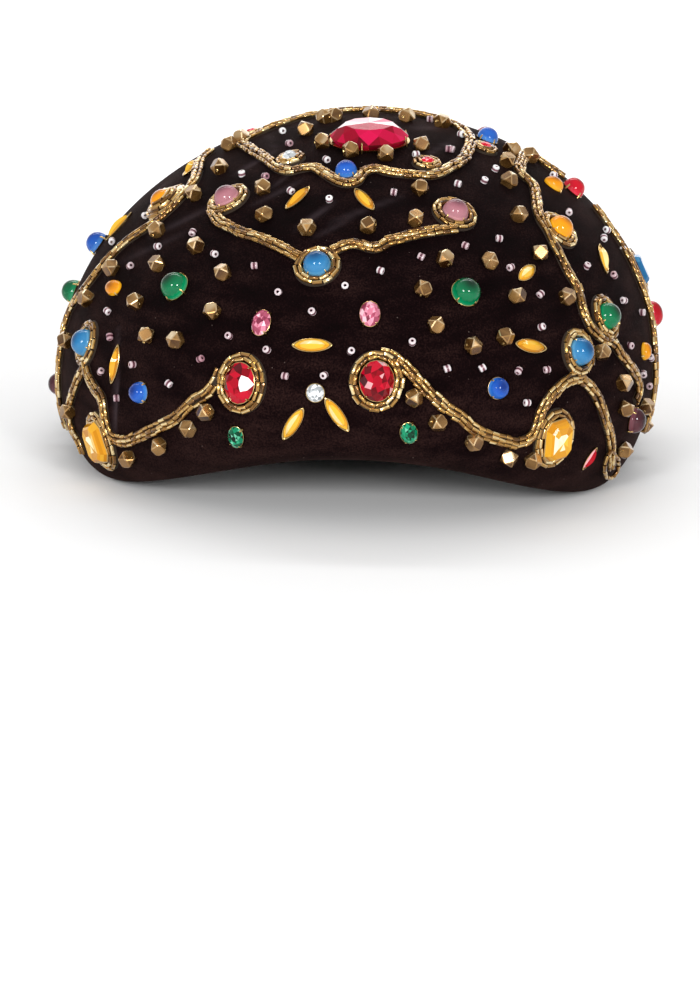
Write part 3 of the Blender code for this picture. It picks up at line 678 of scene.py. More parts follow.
def brilliant(wide, long, height, tone_at, mains=8, table=0.56, apex=None):
    """An oval brilliant: a table that shows the back facets, stars, kites and edge triangles. An
    apex, as a share of half the width, is where all the table's reflections meet instead."""
    form = Form()

    def ring(count, share, z, turn=0.0):
        angles = [2 * pi * (pick + turn) / count for pick in range(count)]
        return form.ring([(wide / 2 * share * cos(angle), long / 2 * share * sin(angle), z)
                          for angle in angles])

    def facet(*corners):
        spot = sum((form.corners[corner] for corner in corners), Vector()) / len(corners)
        form.face(corners, tone_at(2 * spot.x / wide, 2 * spot.y / long))

    middle = ring(mains, table / 2, height, 0.5)
    tops = ring(mains, table, height)
    kites = ring(mains, KITES_OUT, height * KITES_UP, 0.5)
    edge = ring(2 * mains, 1.0, height * EDGE_UP)
    base = ring(2 * mains, BASE_OUT, 0)
    if apex is None:
        facet(*middle)
    else:
        for corner in middle:
            form.corners[corner] = Vector((wide / 2 * apex, 0, height))
    for pick in range(mains):
        after, near = (pick + 1) % mains, (2 * pick + 1) % (2 * mains)
        if apex is None:
            facet(middle[pick - 1], tops[pick], middle[pick])
        facet(middle[pick], tops[pick], tops[after])
        facet(tops[pick], kites[pick], tops[after])
        facet(tops[pick], kites[pick - 1], edge[2 * pick], kites[pick])
        facet(kites[pick], edge[2 * pick], edge[near])
        facet(kites[pick], edge[near], edge[(near + 1) % (2 * mains)])
    for pick in range(2 * mains):
        after = (pick + 1) % (2 * mains)
        facet(base[pick], base[after], edge[after], edge[pick])
    form.face(reversed(base), UNSEEN_TONE)
    return form


def sparkle(low, high):
    """Tones for facets that differ at random between two tones."""
    return lambda x, y: draw.uniform(low, high)


print("a brilliant has", len(brilliant(12, 10, 4, sparkle(0.2, 0.8)).faces), "facets")

# %% The step cut
CORNER_SHARE = 0.22  # of the width is cut off at each corner
STEPS = ((0.86, 0), (1.0, 0.35), (0.93, 0.62), (0.85, 0.86), (0.74, 1.0), (0.40, 1.0))
OFF_MIDDLE = 0.02  # the painted patches of foil reflection meet a little off the middle
STEP_TONES = (0.34, 0.45, 0.55)
# The paler tones of the table and of the long upper steps are painted reflections of the foil.
LONG_SIDE_TONES = (0.45, 0.6, 0.8, 1.0)
TABLE_TONES = (0.55, 0.75, 0.95, 1.0)


def cut_corners(wide, long):
    """A rectangle with its corners cut."""
    x, y, cut = wide / 2, long / 2, CORNER_SHARE * wide
    return [(x, -y + cut), (x, y - cut), (x - cut, y), (-x + cut, y),
            (-x, y - cut), (-x, -y + cut), (-x + cut, -y), (x - cut, -y)]


def step_cut(wide, long, height):
    """A rectangle with cut corners in steps up to its table, with painted reflections of the foil.
    """
    outline = cut_corners(wide, long)
    form = Form()
    rings = [form.ring([(x * share, y * share, level * height) for x, y in outline])
             for share, level in STEPS]
    table = rings[-1]

    def tone_at(side):
        beside = abs(outline[side][1] + outline[(side + 1) % len(outline)][1]) < long / 2
        return draw.choice(LONG_SIDE_TONES if high is table and beside else STEP_TONES)

    form.face(reversed(rings[0]), UNSEEN_TONE)
    for low, high in zip(rings, rings[1:]):
        form.wall(low, high, tone_at)
    [middle] = form.ring([(OFF_MIDDLE * wide, -OFF_MIDDLE * long, height)])
    for side, corner in enumerate(table):
        form.face((corner, table[(side + 1) % len(table)], middle), draw.choice(TABLE_TONES))
    return form


print("the step cut has", len(STEPS) - 1, "steps")

# %% [markdown]
# A sewn stone sits in a pressed setting: a low wall with claws that bend over its edge. The wall
# is the stone's own outline raised a little, and a claw is a short tapered hook.

# %% Settings and claws
CLAW_WIDTH = 0.62
CLAW_REACH = 0.6  # mm that a claw's tip bends in over the stone
CLAW_TIP = 0.3  # mm of a claw above its bend
CLAW_CLEAR = 0.3
CLAW_ROOT = -0.25


def setting(outline, height, finish=1, share=1.04):
    """A low wall round the stone, a little outside its edge, painted pale on top and dark inside:
    painted light and shade.
    """
    profile = ((share - 0.10, 0, 0.2), (share + 0.01, 0.0, 0.3), (share + 0.03, 0.85 * height, 0.8),
               (share - 0.03, height, 0.9), (share - 0.10, 0.8 * height, 0.2))
    return raised(outline, profile, finish)


def claws(wide, long, height, angles, finish=1):
    """Claws that stand round a stone and bend over its edge, painted paler to their tips: a painted
    highlight.
    """
    whole = Form()
    tip = height + CLAW_TIP
    tapered = ((0, CLAW_ROOT, 0.4), (1, CLAW_ROOT, 0.5), (0.95, 0.35 * height, 0.7),
               (0.8, height, 0.9), (0.4, height + 0.25, 1.0), (0, tip, 1.0))
    for angle in angles:
        turn = radians(angle)
        hook = raised(ellipse(CLAW_WIDTH, CLAW_WIDTH * 0.8, 8), tapered, finish)
        for corner in hook.corners:
            corner.y -= CLAW_REACH * max(corner.z / tip, 0) ** 2
        spot = Vector((wide / 2 * sin(turn), long / 2 * cos(turn), 0))
        outward = Vector((sin(turn) / wide, cos(turn) / long, 0)).normalized()
        matrix = Matrix((outward.cross(Z_AXIS), outward, Z_AXIS)).transposed().to_4x4()
        whole.add(hook, Matrix.Translation(spot + outward * CLAW_CLEAR) @ matrix)
    return whole


print("a claw has", len(claws(8, 8, 2, (0,)).faces), "faces")

# %% [markdown]
# ## The stones in their places
# The chart gives each stone's name, cut, glass, place across and down, length, width and lean.
# The stones on the back and over the ears are this hat's own pattern carried on, as the chart
# can't show them.

# %% The chart of the stones
FRONT_STONES = (
    ("top_ruby", "rose", "ruby", 369, 134, 24.0, 18.0, 90),
    ("top_royal", "cabochon", "royal", 346, 169, 6.6, 6.6, 0),
    ("crest_royal", "cabochon", "royal", 489.5, 134.5, 6.6, 6.6, 0),
    ("side_red", "cabochon", "red", 577, 186, 7.0, 7.0, 0),
    ("brow_pink_left", "cabochon", "pink", 226, 196, 8.0, 8.0, 0),
    ("brow_pink_right", "cabochon", "pink", 456, 210, 8.0, 8.0, 0),
    ("brow_sky", "cabochon", "sky", 316.5, 262.5, 8.2, 8.2, 0),
    ("amber_left", "cabochon", "amber", 162, 200, 8.0, 8.0, 0),
    ("amber_right", "cabochon", "amber", 561.5, 226.5, 8.0, 8.0, 0),
    ("green_left", "cabochon", "green", 173, 284.5, 8.6, 8.6, 0),
    ("green_right", "cabochon", "green", 467.3, 290.5, 8.6, 8.6, 0),
    ("side_green", "cabochon", "green", 610, 315, 8.2, 8.2, 0),
    ("rose_left", "oval", "rose", 260.7, 322.2, 8.0, 6.0, 12),
    ("rose_right", "oval", "rose", 370, 313.5, 8.0, 6.0, 0),
    ("temple_sky_left", "cabochon", "sky", 82, 342, 8.4, 8.4, 0),
    ("temple_sky_right", "cabochon", "sky", 582.5, 351, 8.4, 8.4, 0),
    ("ruby_left", "oval", "ruby", 238.3, 383, 12.2, 10.0, 4),
    ("ruby_right", "oval", "ruby", 377, 381, 12.0, 10.2, 0),
    ("royal_left", "cabochon", "royal", 137.5, 392.5, 6.4, 6.4, 0),
    ("royal_right", "cabochon", "royal", 499.6, 388.4, 6.4, 6.4, 0),
    ("emerald_left", "oval", "emerald", 235.4, 437.5, 7.0, 5.0, 3),
    ("emerald_right", "oval", "emerald", 409, 433.5, 7.0, 5.2, -14),
    ("topaz_left", "step", "topaz", 96, 443, 12.8, 9.8, -18),
    ("topaz_right", "step", "topaz", 558.3, 440.5, 12.8, 9.8, 5),
    ("side_amethyst", "cabochon", "amethyst", 637, 421, 8.0, 7.0, 10),
)
BACK_STONES = (
    "brow_pink_left", "brow_pink_right", "brow_sky", "ruby_left", "ruby_right", "topaz_left",
    "topaz_right", "green_left", "green_right", "temple_sky_left", "temple_sky_right",
)
EAR_STONES = (
    ("ear_sky_right", "step", "sky", 86, 60, 9.6, 7.4),
    ("ear_red_right", "cabochon", "red", 93, 44, 8.4, 6.4),
    ("ear_royal_left", "cabochon", "royal", -93, 62, 7.4, 7.4),
    ("ear_green_left", "cabochon", "green", -98, 45, 7.6, 7.6),
    ("ear_amethyst_left", "cabochon", "amethyst", -91, 18, 7.4, 7.4),
)
CUT_HEIGHTS = {"cabochon": 0.50, "oval": 0.45, "step": 0.42, "rose": 0.34, "navette": 0.62}
SEAM = 0.3  # mm between a stone and the velvet


def place_stones():
    """Every stone: cut, glass, sizes, seat and long way."""
    placed = {}
    for name, cut, glass, across, down, long, wide, lean in FRONT_STONES:
        seat = seen(across, down, CUT_HEIGHTS[cut] * wide / 2)
        placed[name] = (cut, glass, long, wide, seat, lean_of(seat, lean))
    for name in BACK_STONES:
        cut, glass, long, wide, seat, along = placed[name]
        placed["back_" + name] = (cut, glass, long, wide, behind(seat), HALF_TURN @ along)
    for name, cut, glass, turn, height, long, wide in EAR_STONES:
        placed[name] = (cut, glass, long, wide, at_height(turn, height), Z_AXIS)
    return placed


STONES = place_stones()
print(len(STONES), "stones placed")

# %% [markdown]
# Each stone's form goes with its setting into one piece that stands for its solid. The great ruby
# at the top is seen almost along its face, so its far half and its ends are painted pale, a painted
# reflection of the pale room, its middle is raspberry and its near facets are deep. The ruby on the
# left has a painted white flash beside its middle, a painted reflection of a window in the foil.

# %% The tones of the rubies
def top_ruby_tones(x, y):
    """A painted reflection, pale at the far side and the ends; raspberry in the middle, deep near.
    """
    if x < 0.10:
        return draw.choice((0.80, 0.90, 0.96, 1.0))
    if x < 0.45 and abs(y) < 0.45:
        return draw.uniform(0.44, 0.54)
    if x > 0.82:
        return draw.choice((0.12, 0.24, 0.34))
    return draw.uniform(0.24, 0.60)


def left_ruby_tones(x, y):
    """Deep and bright patches, and one painted white flash to the right, a painted reflection."""
    if x > 0.3 and abs(y) < 0.42 * (1.15 - x):
        return 1.0
    return draw.choice((0.16, 0.30, 0.42, 0.55, 0.66, 0.74))


def ruby_tones(x, y):
    """Deep and bright patches at random, with a few painted glints."""
    return draw.choice((0.10, 0.22, 0.36, 0.45, 0.55, 0.66, 0.72, 0.84))


RUBY_TONES = {"ruby_left": left_ruby_tones, "back_ruby_left": left_ruby_tones}
print("the rubies with tones of their own:", ", ".join(("top_ruby", *RUBY_TONES)))

# %% Dress the stones
CLAW_ANGLES = (40, 140, 220, 320)
SETTINGS = {  # the wall's sides (0 for cut corners), its share of the outline, its height and that
    # of the claws as shares of the stone's, the claws' reach and their angles
    "cabochon": (ROUND_SIDES, 1.0, 0.12, 0.42, 1.0, CLAW_ANGLES),
    "step": (0, 1.0, 0.42, 0.55, 0.92, (38, 142, 218, 322)),
    "rose": (48, 1.0, 0.14, 0.45, 1.0, range(20, 360, 80)),
    "oval": (32, 0.99, 0.40, 0.55, 1.0, CLAW_ANGLES),
}
SHARP_DOME, SHARP_CUT = 32, 9  # degrees from which an edge stays sharp


def cut_stone(name, cut, glass, wide, long):
    """The stone itself, with its setting and claws round it."""
    height = CUT_HEIGHTS[cut] * wide
    if cut == "cabochon":
        form = cabochon(wide, long)
    elif cut == "step":
        form = step_cut(wide, long, height)
    elif cut == "rose":
        form = brilliant(wide, long, height, top_ruby_tones, mains=10, table=0.62, apex=-0.12)
    else:
        tones = RUBY_TONES.get(name, ruby_tones) if glass == "ruby" else sparkle(0.02, 0.86)
        form = brilliant(wide, long, height, tones)
    sides, share, wall, claw, reach, angles = SETTINGS[cut]
    outline = ellipse(wide, long, sides) if sides else cut_corners(wide, long)
    form.add(setting(outline, wall * height, share=share))
    return form.add(claws(wide * reach, long * reach, claw * height, angles))


for name, (cut, glass, long, wide, seat, along) in STONES.items():
    foiled = GLASS["raspberry" if name == "top_ruby" else glass]
    dress(f"{name}_set", cut_stone(name, cut, glass, wide, long), [foiled, setting_brass],
          [name], standing(seat, along, SEAM / 2),
          sharp=SHARP_DOME if cut == "cabochon" else SHARP_CUT)
print("stones dressed")

# %% [markdown]
# ## Cords of bugle beads
# The raised cords are three rows of bugles laid side by side over a padding thread and couched
# down. A row could be made with an Array and a Curve modifier, but those stretch the beads on
# bends. Here beads of one real length are threaded along a route, each with its own small turn,
# as a hand would lay them. Where a cord rings a stone, two rows go round it. Over one amber stone
# the rows open to a fan, and one cord ends in a loop.

# %% One bugle bead
BUGLE_LENGTH = 2.45
BUGLE_WIDTH = 1.28
BUGLE_PITCH = 2.62
BUGLE_SIDES = 8
BUGLE_HOLE = 0.48  # share of the width
HOLE_DEPTH = 0.35
ROUNDED_END = 0.10


def bugle():
    """A short glass tube along Y with a hole at each end, painted with light and shade."""
    # Painted light: two bright bands along two sides are painted highlights, the sides between them
    # are painted darker, and the holes are painted dark, a painted shade.
    def tone_of(x, y, share):
        if share < 0.5:
            return 0.0
        side, top = (2 * way / BUGLE_WIDTH / share for way in (x, y))
        return 0.5 + 0.30 * side**2 - 0.25 * abs(top)
    half = BUGLE_LENGTH / 2
    end = ((0, half - HOLE_DEPTH), (BUGLE_HOLE, half - HOLE_DEPTH), (BUGLE_HOLE, half),
           (0.9, half), (1, half - ROUNDED_END))
    profile = [(share, -height) for share, height in end] + list(reversed(end))
    return lying(raised(ellipse(BUGLE_WIDTH, BUGLE_WIDTH, BUGLE_SIDES), profile, tone_of=tone_of))


BUGLE = bugle()
print("a bugle bead has", len(BUGLE.faces), "faces")

# %% Routes over the velvet
def smooth_route(seats, step, closed=False):
    """Seats evenly spaced along a smooth curve through the given ones."""
    points = [place for place, _ in seats]
    facings = [facing for _, facing in seats]
    count = len(points)
    made = []
    for span in range(count if closed else count - 1):
        if closed:
            picks = [(span + shift) % count for shift in (-1, 0, 1, 2)]
        else:
            picks = [min(max(span + shift, 0), count - 1) for shift in (-1, 0, 1, 2)]
        a, b, c, d = (points[pick] for pick in picks)
        cuts = max(1, round((c - b).length / step))
        for cut in range(cuts):
            t = cut / cuts
            bend = 2 * b + (c - a) * t + (2 * a - 5 * b + 4 * c - d) * t * t
            bend += (3 * b - a - 3 * c + d) * t**3
            facing = facings[picks[1]].lerp(facings[picks[2]], t).normalized()
            made.append(toward(bend / 2, facing))
    return made if closed else made + [seats[-1]]


def sides_of(seats, closed):
    """The sideways direction at each seat of a route."""
    count = len(seats)
    sides = []
    for index, (_, facing) in enumerate(seats):
        if closed:
            before, after = seats[index - 1][0], seats[(index + 1) % count][0]
        else:
            before, after = seats[max(index - 1, 0)][0], seats[min(index + 1, count - 1)][0]
        sides.append((after - before).cross(facing).normalized())
    return sides


def ring_route(stone, reach, steps=40, arc=(0, 360), swell=0.0):
    """Seats of a ring, or an arc of one, that runs a certain reach outside a stone's edge and
    swells away from it in the middle."""
    _, _, long, wide, (place, facing), along = stone
    long_way = (along - facing * along.dot(facing)).normalized()
    wide_way = long_way.cross(facing)
    seats = []
    for step in range(steps):
        angle = radians(arc[0] + (arc[1] - arc[0]) * step / steps)
        far = reach + swell * sin(pi * step / steps)
        spot = place + wide_way * (wide / 2 + far) * cos(angle)
        seats.append(toward(spot + long_way * (long / 2 + far) * sin(angle), facing))
    return seats


print("a ring's route has", len(ring_route(STONES["brow_sky"], 1.0)), "seats")

# %% Threading beads along a row
TILT = radians(6)
SHIFT = 0.12  # mm that a bead strays to the side
RISE = (-0.10, 0.12)  # mm that a bead lies lower or higher than its row
BEAD_SHARE = 0.94  # of its pitch that a bead takes up
SHORTEST = 0.5  # mm: a bead is left out where less room than this is left
NEAR_END = 1e-4


def thread(form, seats, closed, offset, lift, tones, keep=lambda spot: True, pitch=BUGLE_PITCH):
    """Threads bugles along one row of a route, at an offset to its side and lifted from it."""
    sides = sides_of(seats, closed)
    row = [(place + side * offset + facing * lift, facing)
           for (place, facing), side in zip(seats, sides)]
    if closed:
        row.append(row[0])
    lengths = [0.0]
    for (here, _), (ahead, _) in zip(row, row[1:]):
        lengths.append(lengths[-1] + (ahead - here).length)

    def spot_at(distance):
        pick = max(index for index, length in enumerate(lengths[:-1]) if length <= distance)
        share = (distance - lengths[pick]) / max(lengths[pick + 1] - lengths[pick], 1e-6)
        return (row[pick][0].lerp(row[pick + 1][0], share),
                row[pick][1].lerp(row[pick + 1][1], share).normalized())

    count = max(1, round(lengths[-1] / pitch))
    even = lengths[-1] / count
    start = draw.uniform(0, 0.5) * even if closed else 0
    for bead in range(count):
        first, last = (spot_at(min(far % lengths[-1], lengths[-1] - NEAR_END)) for far in
                       (start + bead * even, start + bead * even + even * BEAD_SHARE))
        run = last[0] - first[0]
        middle, facing = (first[0] + last[0]) / 2, (first[1] + last[1]).normalized()
        if not keep(middle) or run.length < SHORTEST:
            continue
        along = Matrix.Rotation(draw.uniform(-TILT, TILT), 3, facing) @ run
        stray = along.cross(facing).normalized() * draw.gauss(0, SHIFT)
        matrix = standing((middle + stray, facing), along, draw.uniform(*RISE))
        matrix = matrix @ Matrix.Rotation(draw.uniform(0, pi), 4, "Y")
        matrix = matrix @ Matrix.Diagonal((1, run.length / BUGLE_LENGTH, 1, 1))
        form.add(BUGLE, matrix, shift=draw.gauss(*tones))


RIDGE = ((-0.5, -0.2), (-0.42, 0.6), (-0.2, 0.95), (0.2, 0.95), (0.42, 0.6), (0.5, -0.2))
RIDGE_TONE = 0.4


def padding(form, seats, closed, width, height):
    """The padding thread under a cord: a low rounded ridge along the route."""
    rings = [form.ring([place + side * x * width + facing * z * height for x, z in RIDGE])
             for (place, facing), side in zip(seats, sides_of(seats, closed))]
    for low, high in zip(rings, rings[1:] + rings[:1] if closed else rings[1:]):
        form.wall(low, high, lambda side: RIDGE_TONE, 1)
    if not closed:
        form.face(rings[0], RIDGE_TONE, 1)
        form.face(reversed(rings[-1]), RIDGE_TONE, 1)


print("a bugle every", BUGLE_PITCH, "mm")

# %% [markdown]
# The routes are charted as the stones are: first the cords of the front, then the cord round the
# top, whose far half is given in plan, then those over the ears by turn and height. Three of the
# front cords are worked on the back as well.

# %% The chart of the cords
BACK_CORDS = ("brow_cord", "temple_cord_left", "temple_cord_right")
FRONT_CORDS = {
    "brow_cord": (
        (
            ((211, 209), (219, 221), (229, 226), (243, 233), (256, 236), (270, 242), (300, 257)),
            ((332, 251), (352, 243), (374, 247.5), (389, 241), (405, 236.5), (425, 232),
             (456, 228)),
        ),
        ("brow_pink_left", "brow_sky", "brow_pink_right"),
    ),
    "temple_cord_left": (
        (
            ((220, 369), (216, 380), (208, 391.5), (191, 403), (175, 418.5), (156, 428), (140, 436),
             (124, 441), (110, 436), (105, 424), (103, 411), (101, 398), (94, 388), (88, 377),
             (84, 362)),
            ((84, 366), (77, 380), (72, 393), (69, 405), (69, 418), (72, 431), (76, 444),
             (80, 455)),
        ),
        ("ruby_left", "topaz_left", "temple_sky_left"),
    ),
    "temple_cord_right": (
        (
            ((380, 353), (396, 359), (412, 374), (428, 391), (447, 408), (461, 417), (474, 429),
             (487, 435.5), (503, 440), (518, 443), (532, 437), (538, 425), (542, 411), (551, 397),
             (561, 386), (571, 379), (582, 377)),
            ((576, 376), (589, 385), (600, 402), (606, 420), (611, 436), (612, 455), (612, 468)),
        ),
        ("ruby_right", "topaz_right", "temple_sky_right"),
        ((609, 450), (615, 456), (617, 466), (613, 475), (606, 477), (603, 469), (605, 458)),
    ),
    "side_cord_right": (
        (
            ((527, 151), (521, 162), (519, 170), (525, 177), (533, 184), (536, 197), (537, 209),
             (541, 220), (548, 231), (554, 243), (560, 255), (568, 271), (576, 284), (580, 296),
             (584, 311), (592, 328), (603, 338), (613, 341), (620, 352), (629, 364), (637, 376),
             (640, 390), (636, 402)),
            ((527, 151), (539, 156.5), (551, 163), (566, 176)),
        ),
        ("amber_right", "side_green"),
    ),
}
TOP_CORD_SEEN = (
    (244, 140), (251, 149), (264, 157), (277, 167), (289, 171), (302, 168), (314, 167), (326, 174),
    (336, 180), (346, 183), (357, 181), (364, 172), (375, 168), (386, 171), (399, 173), (425, 175),
    (439, 173), (450, 167), (462, 160), (468, 150), (470, 138),
)
TOP_CORD_FAR = ((30, 2), (22, 10), (11, 14), (-1, 15), (-13, 13), (-23, 7.5))
TOP_CORD_STONES = (
    ("oval", "clear", 290, 158, 4.6, 4.6, 0),
    ("oval", "red", 427, 163, 4.6, 3.4, 90),
    ("oval", "red", 484.5, 148, 4.6, 3.4, 90),
    ("oval", "red", 252, 134, 4.6, 3.4, 90),
)
EAR_CORDS = {
    "ear_cord_right": (
        ((87, 79), (83.5, 74), (82, 69), (80.8, 64), (80.3, 59), (80.5, 54), (80.5, 49), (79, 42),
         (78, 36), (79, 28), (80, 12)),
        ("ear_sky_right",),
    ),
    "side_cord_left": (
        ((-92, 92.5), (-85, 91), (-75, 90), (-65.5, 88.5), (-61.5, 86), (-59.5, 83), (-59.5, 80),
         (-60.5, 77), (-62.5, 74.5), (-65.5, 71.5), (-68, 68), (-69.5, 64.5), (-71, 61),
         (-72.5, 57), (-75, 53), (-78, 49), (-80.5, 45), (-81, 40), (-80, 34), (-80, 27),
         (-80.5, 20), (-82, 13), (-84, 7)),
        ("amber_left",),
    ),
}
print(len(FRONT_CORDS) + len(BACK_CORDS) + len(EAR_CORDS) + 1, "cords charted")

# %% Dress the cords
ROUTE_STEP = 0.8
RUN_ROWS = ((-1.25, 1.0), (1.25, 1.0), (0.0, 1.5))  # mm to the side, mm above the velvet
RING_REACH = 1.75
RING_ROWS = ((0.55, 1.05), (-0.75, 1.35))
RING_PITCH = 3.1
RUN_TONES = (0.09, 0.18)  # the mean and the spread of the beads' tones
RING_TONES = (0.12, 0.20)
RUN_PADDING = (3.0, 1.15)  # mm wide and high
RING_PADDING = (2.6, 0.9)
SEEN_LIFT = 1.0  # mm above the velvet at which a cord is charted
LOOP_LIFT = 1.6
FAN_ROWS = 6
FAN_START = -1.3  # mm: the fan's first row lies inside the stone's setting
FAN_STEP = 0.72  # mm between the rows of the fan
FAN_TOP = 3.7
FAN_DROP = 0.46  # mm from row to row
FAN_ARC = (55, -150)  # degrees round the stone, from its right side up
FAN_SEATS = 16
FAN_SWELL = 0.25
FAN_PITCH = 4.0
RUN_RADIUS, RING_RADIUS = 2.0, 1.8  # mm that a cord takes up to each side
RING_ROOM = 1.3  # mm past a ring's first row in which no run is sewn
TAKEN = []  # places and radii that are sewn over already


def outside_rings(rings):
    """A test of whether a spot is clear of the ringed stones."""
    def keep(spot):
        return all((spot - place).length >= (long + wide) / 4 + reach + RING_ROOM
                   for (_, _, long, wide, (place, _), _), reach in rings)
    return keep


def even_runs(runs):
    """Runs of seats as evenly spaced routes that are open at their ends."""
    return [(smooth_route(run, ROUTE_STEP), False) for run in runs]


def ringed_stones(names, side=""):
    """The stones of these names with how far out their rings run."""
    return [(STONES[side + name], RING_REACH) for name in names]


def work_cord(name, routes, rings, extra=None, materials=(), fans=(), loops=()):
    """One cord with its rings, as one piece that stands for its solid."""
    form = extra or Form()
    for loop in loops:
        thread(form, loop, True, 0.0, LOOP_LIFT, RING_TONES, pitch=RING_PITCH)
    for stone in fans:
        for row in range(1, FAN_ROWS + 1):
            reach, swell = FAN_STEP * row + FAN_START, FAN_SWELL * row
            seats = ring_route(stone, reach, FAN_SEATS, FAN_ARC, swell)
            thread(form, seats, False, 0.0, FAN_TOP - FAN_DROP * row, RING_TONES, pitch=FAN_PITCH)
    for seats, closed in routes:
        padding(form, seats, closed, *RUN_PADDING)
        for offset, lift in RUN_ROWS:
            thread(form, seats, closed, offset, lift, RUN_TONES, outside_rings(rings))
        TAKEN.extend((place, RUN_RADIUS) for place, _ in seats[::3])
    for stone, reach in rings:
        seats = ring_route(stone, reach)
        padding(form, seats, True, *RING_PADDING)
        for offset, lift in RING_ROWS:
            thread(form, seats, True, offset, lift, RING_TONES, pitch=RING_PITCH)
        TAKEN.extend((place, RING_RADIUS) for place, _ in seats[::4])
    dress(f"{name}_bugles", form, [bugle_glass, padding_thread, *materials], [name])
    return len(form.faces)


faces = 0
for name, (runs, ringed, *ends) in FRONT_CORDS.items():
    runs, ends = ([[seen(*spot, SEEN_LIFT) for spot in line] for line in lines]
                  for lines in (runs, ends))
    loops = [smooth_route(end, ROUTE_STEP, True) for end in ends]
    faces += work_cord(name, even_runs(runs), ringed_stones(ringed), loops=loops)
    if name in BACK_CORDS:
        turned = [[behind(seat) for seat in run] for run in runs]
        faces += work_cord("back_" + name, even_runs(turned), ringed_stones(ringed, "back_"))
for name, (run, ringed) in EAR_CORDS.items():
    fans = [STONES[stone] for stone in ringed if stone == "amber_left"]
    faces += work_cord(name, even_runs([[at_height(*spot) for spot in run]]),
                       ringed_stones(ringed), fans=fans)
print("cords of the front, back and ears:", faces, "faces")

# %% [markdown]
# The cord round the top holds small stones in loops of its own, so they are part of its piece.

# %% The cord round the top
TOP_RING_REACH = 1.2
SMALL_HEIGHT = 0.9  # mm that a small stone is raised, and the height of its setting
SMALL_RISE = 0.5
STONE_ROOM = 0.8  # mm round each stone that stays free of beads
RED_FINISH, CLEAR_FINISH, BRASS_FINISH = 2, 3, 4  # places among the cord's materials
held = Form()
top_rings = []
for cut, glass, across, down, long, wide, lean in TOP_CORD_STONES:
    seat = seen(across, down, CUT_HEIGHTS[cut] * wide / 2)
    along = lean_of(seat, lean)
    top_rings.append(((cut, glass, long, wide, seat, along), TOP_RING_REACH))
    stone = brilliant(wide, long, CUT_HEIGHTS[cut] * wide, sparkle(0.35, 1.0), mains=6)
    held.add(stone, standing(seat, along, SMALL_HEIGHT),
             finish=CLEAR_FINISH if glass == "clear" else RED_FINISH)
    held.add(setting(ellipse(wide, long, 24), SMALL_HEIGHT, finish=BRASS_FINISH),
             standing(seat, along, SMALL_RISE))
route = [seen(*spot, SEEN_LIFT) for spot in TOP_CORD_SEEN]
route += [toward(Vector((*spot, HEIGHT)), Z_AXIS) for spot in TOP_CORD_FAR]
faces = work_cord("top_cord", [(smooth_route(route, ROUTE_STEP, True), True)], top_rings, held,
                  (GLASS["red"], GLASS["clear"], setting_brass))
TAKEN.extend((seat[0], (long + wide) / 4 + STONE_ROOM)
             for _, _, long, wide, seat, _ in STONES.values())
print("top cord:", faces, "faces")

# %% [markdown]
# ## Nailheads
# The nailhead beads are bronze-lustred glass cubes with their corners cut off, sewn on by a thread
# through the middle. No two are pierced and sewn alike, so each shows another side: a square, or a
# six-sided outline with three ridges that meet. Blender's own bevel makes the form from a
# cube: first its corners are cut, then its edges are softened, and the softened edges are painted
# paler, painted highlights, because the eye picks up the bright lines along them. A short metal
# tube lines the hole; its lip is painted bright, a painted highlight that shows as a bright dot at
# each end, and its inside is painted dark, a painted shade. Facets that face up are painted
# paler and those that face the velvet darker: painted light and shade.

# %% One nailhead
NAILHEAD_CUBE = 4.2
CORNER_CUT = 1.85
EDGE_ROUND = 0.24
HOLE_REACH = 2.25
HOLE_WIDTH = 0.9
FACET_AREA = 1.0  # mm2: faces above this are facets, and those below are the softened edges
# The softened edges take paler tones than the facets: painted highlights.
FACET_TONES, EDGE_HIGHLIGHT_TONES = (0.14, 0.62), (0.50, 0.74)
CORNER_DRIFT = 0.22  # how far the tone of a facet drifts towards its corners
PAINTED_FACING_LIGHT = 0.2  # painted light and shade: a facet that looks at the lamps is painted paler, one at the velvet darker
SUNK_IN_PILE = 0.35


def nailhead():
    """A cube with its corners cut, rolled at random, with a lined hole along X."""
    block = bmesh.new()
    bmesh.ops.create_cube(block, size=NAILHEAD_CUBE)
    bmesh.ops.bevel(block, geom=block.verts[:], offset=CORNER_CUT, segments=1, affect="VERTICES")
    bmesh.ops.bevel(block, geom=block.edges[:], offset=EDGE_ROUND, segments=1, affect="EDGES")
    # Bevel gives its parts in no fixed order, so they are sorted by place before tones are drawn.
    order = sorted(block.verts, key=lambda corner: tuple(round(value, 3) for value in corner.co))
    number = {corner: index for index, corner in enumerate(order)}
    facets = []
    for face in block.faces:
        loop = [number[corner] for corner in face.verts]
        first = loop.index(min(loop))
        facets.append((loop[first:] + loop[:first], face.calc_area()))
    cube = Form()
    cube.corners = [corner.co.copy() for corner in order]
    block.free()
    for loop, area in sorted(facets):
        if area > FACET_AREA:
            tone = draw.uniform(*FACET_TONES)
            tones = tuple(tone + draw.uniform(-CORNER_DRIFT, CORNER_DRIFT) for _ in loop)
        else:
            tones = draw.uniform(*EDGE_HIGHLIGHT_TONES)
        cube.face(loop, tones)
    roll = Matrix()
    for axis in "XYZ":
        roll = roll @ Matrix.Rotation(draw.uniform(0, pi), 4, axis)
    form = Form().add(cube, roll)
    # The hole's lip is painted bright, a painted highlight, and its inside dark, a painted shade.
    rim = raised(ellipse(HOLE_WIDTH, HOLE_WIDTH, 8),
                 ((1, -0.4, 0.4), (1, 0.12, 0.9), (0.8, 0.2, 1.0), (0.5, 0.12, 0.6),
                  (0.4, -0.2, 0.0), (0, -0.2, 0.0)), finish=1)
    for way in (1, -1):
        form.add(rim, Matrix.Translation((way * HOLE_REACH, 0, 0))
                 @ Matrix.Rotation(way * pi / 2, 4, "Y"))
    return form


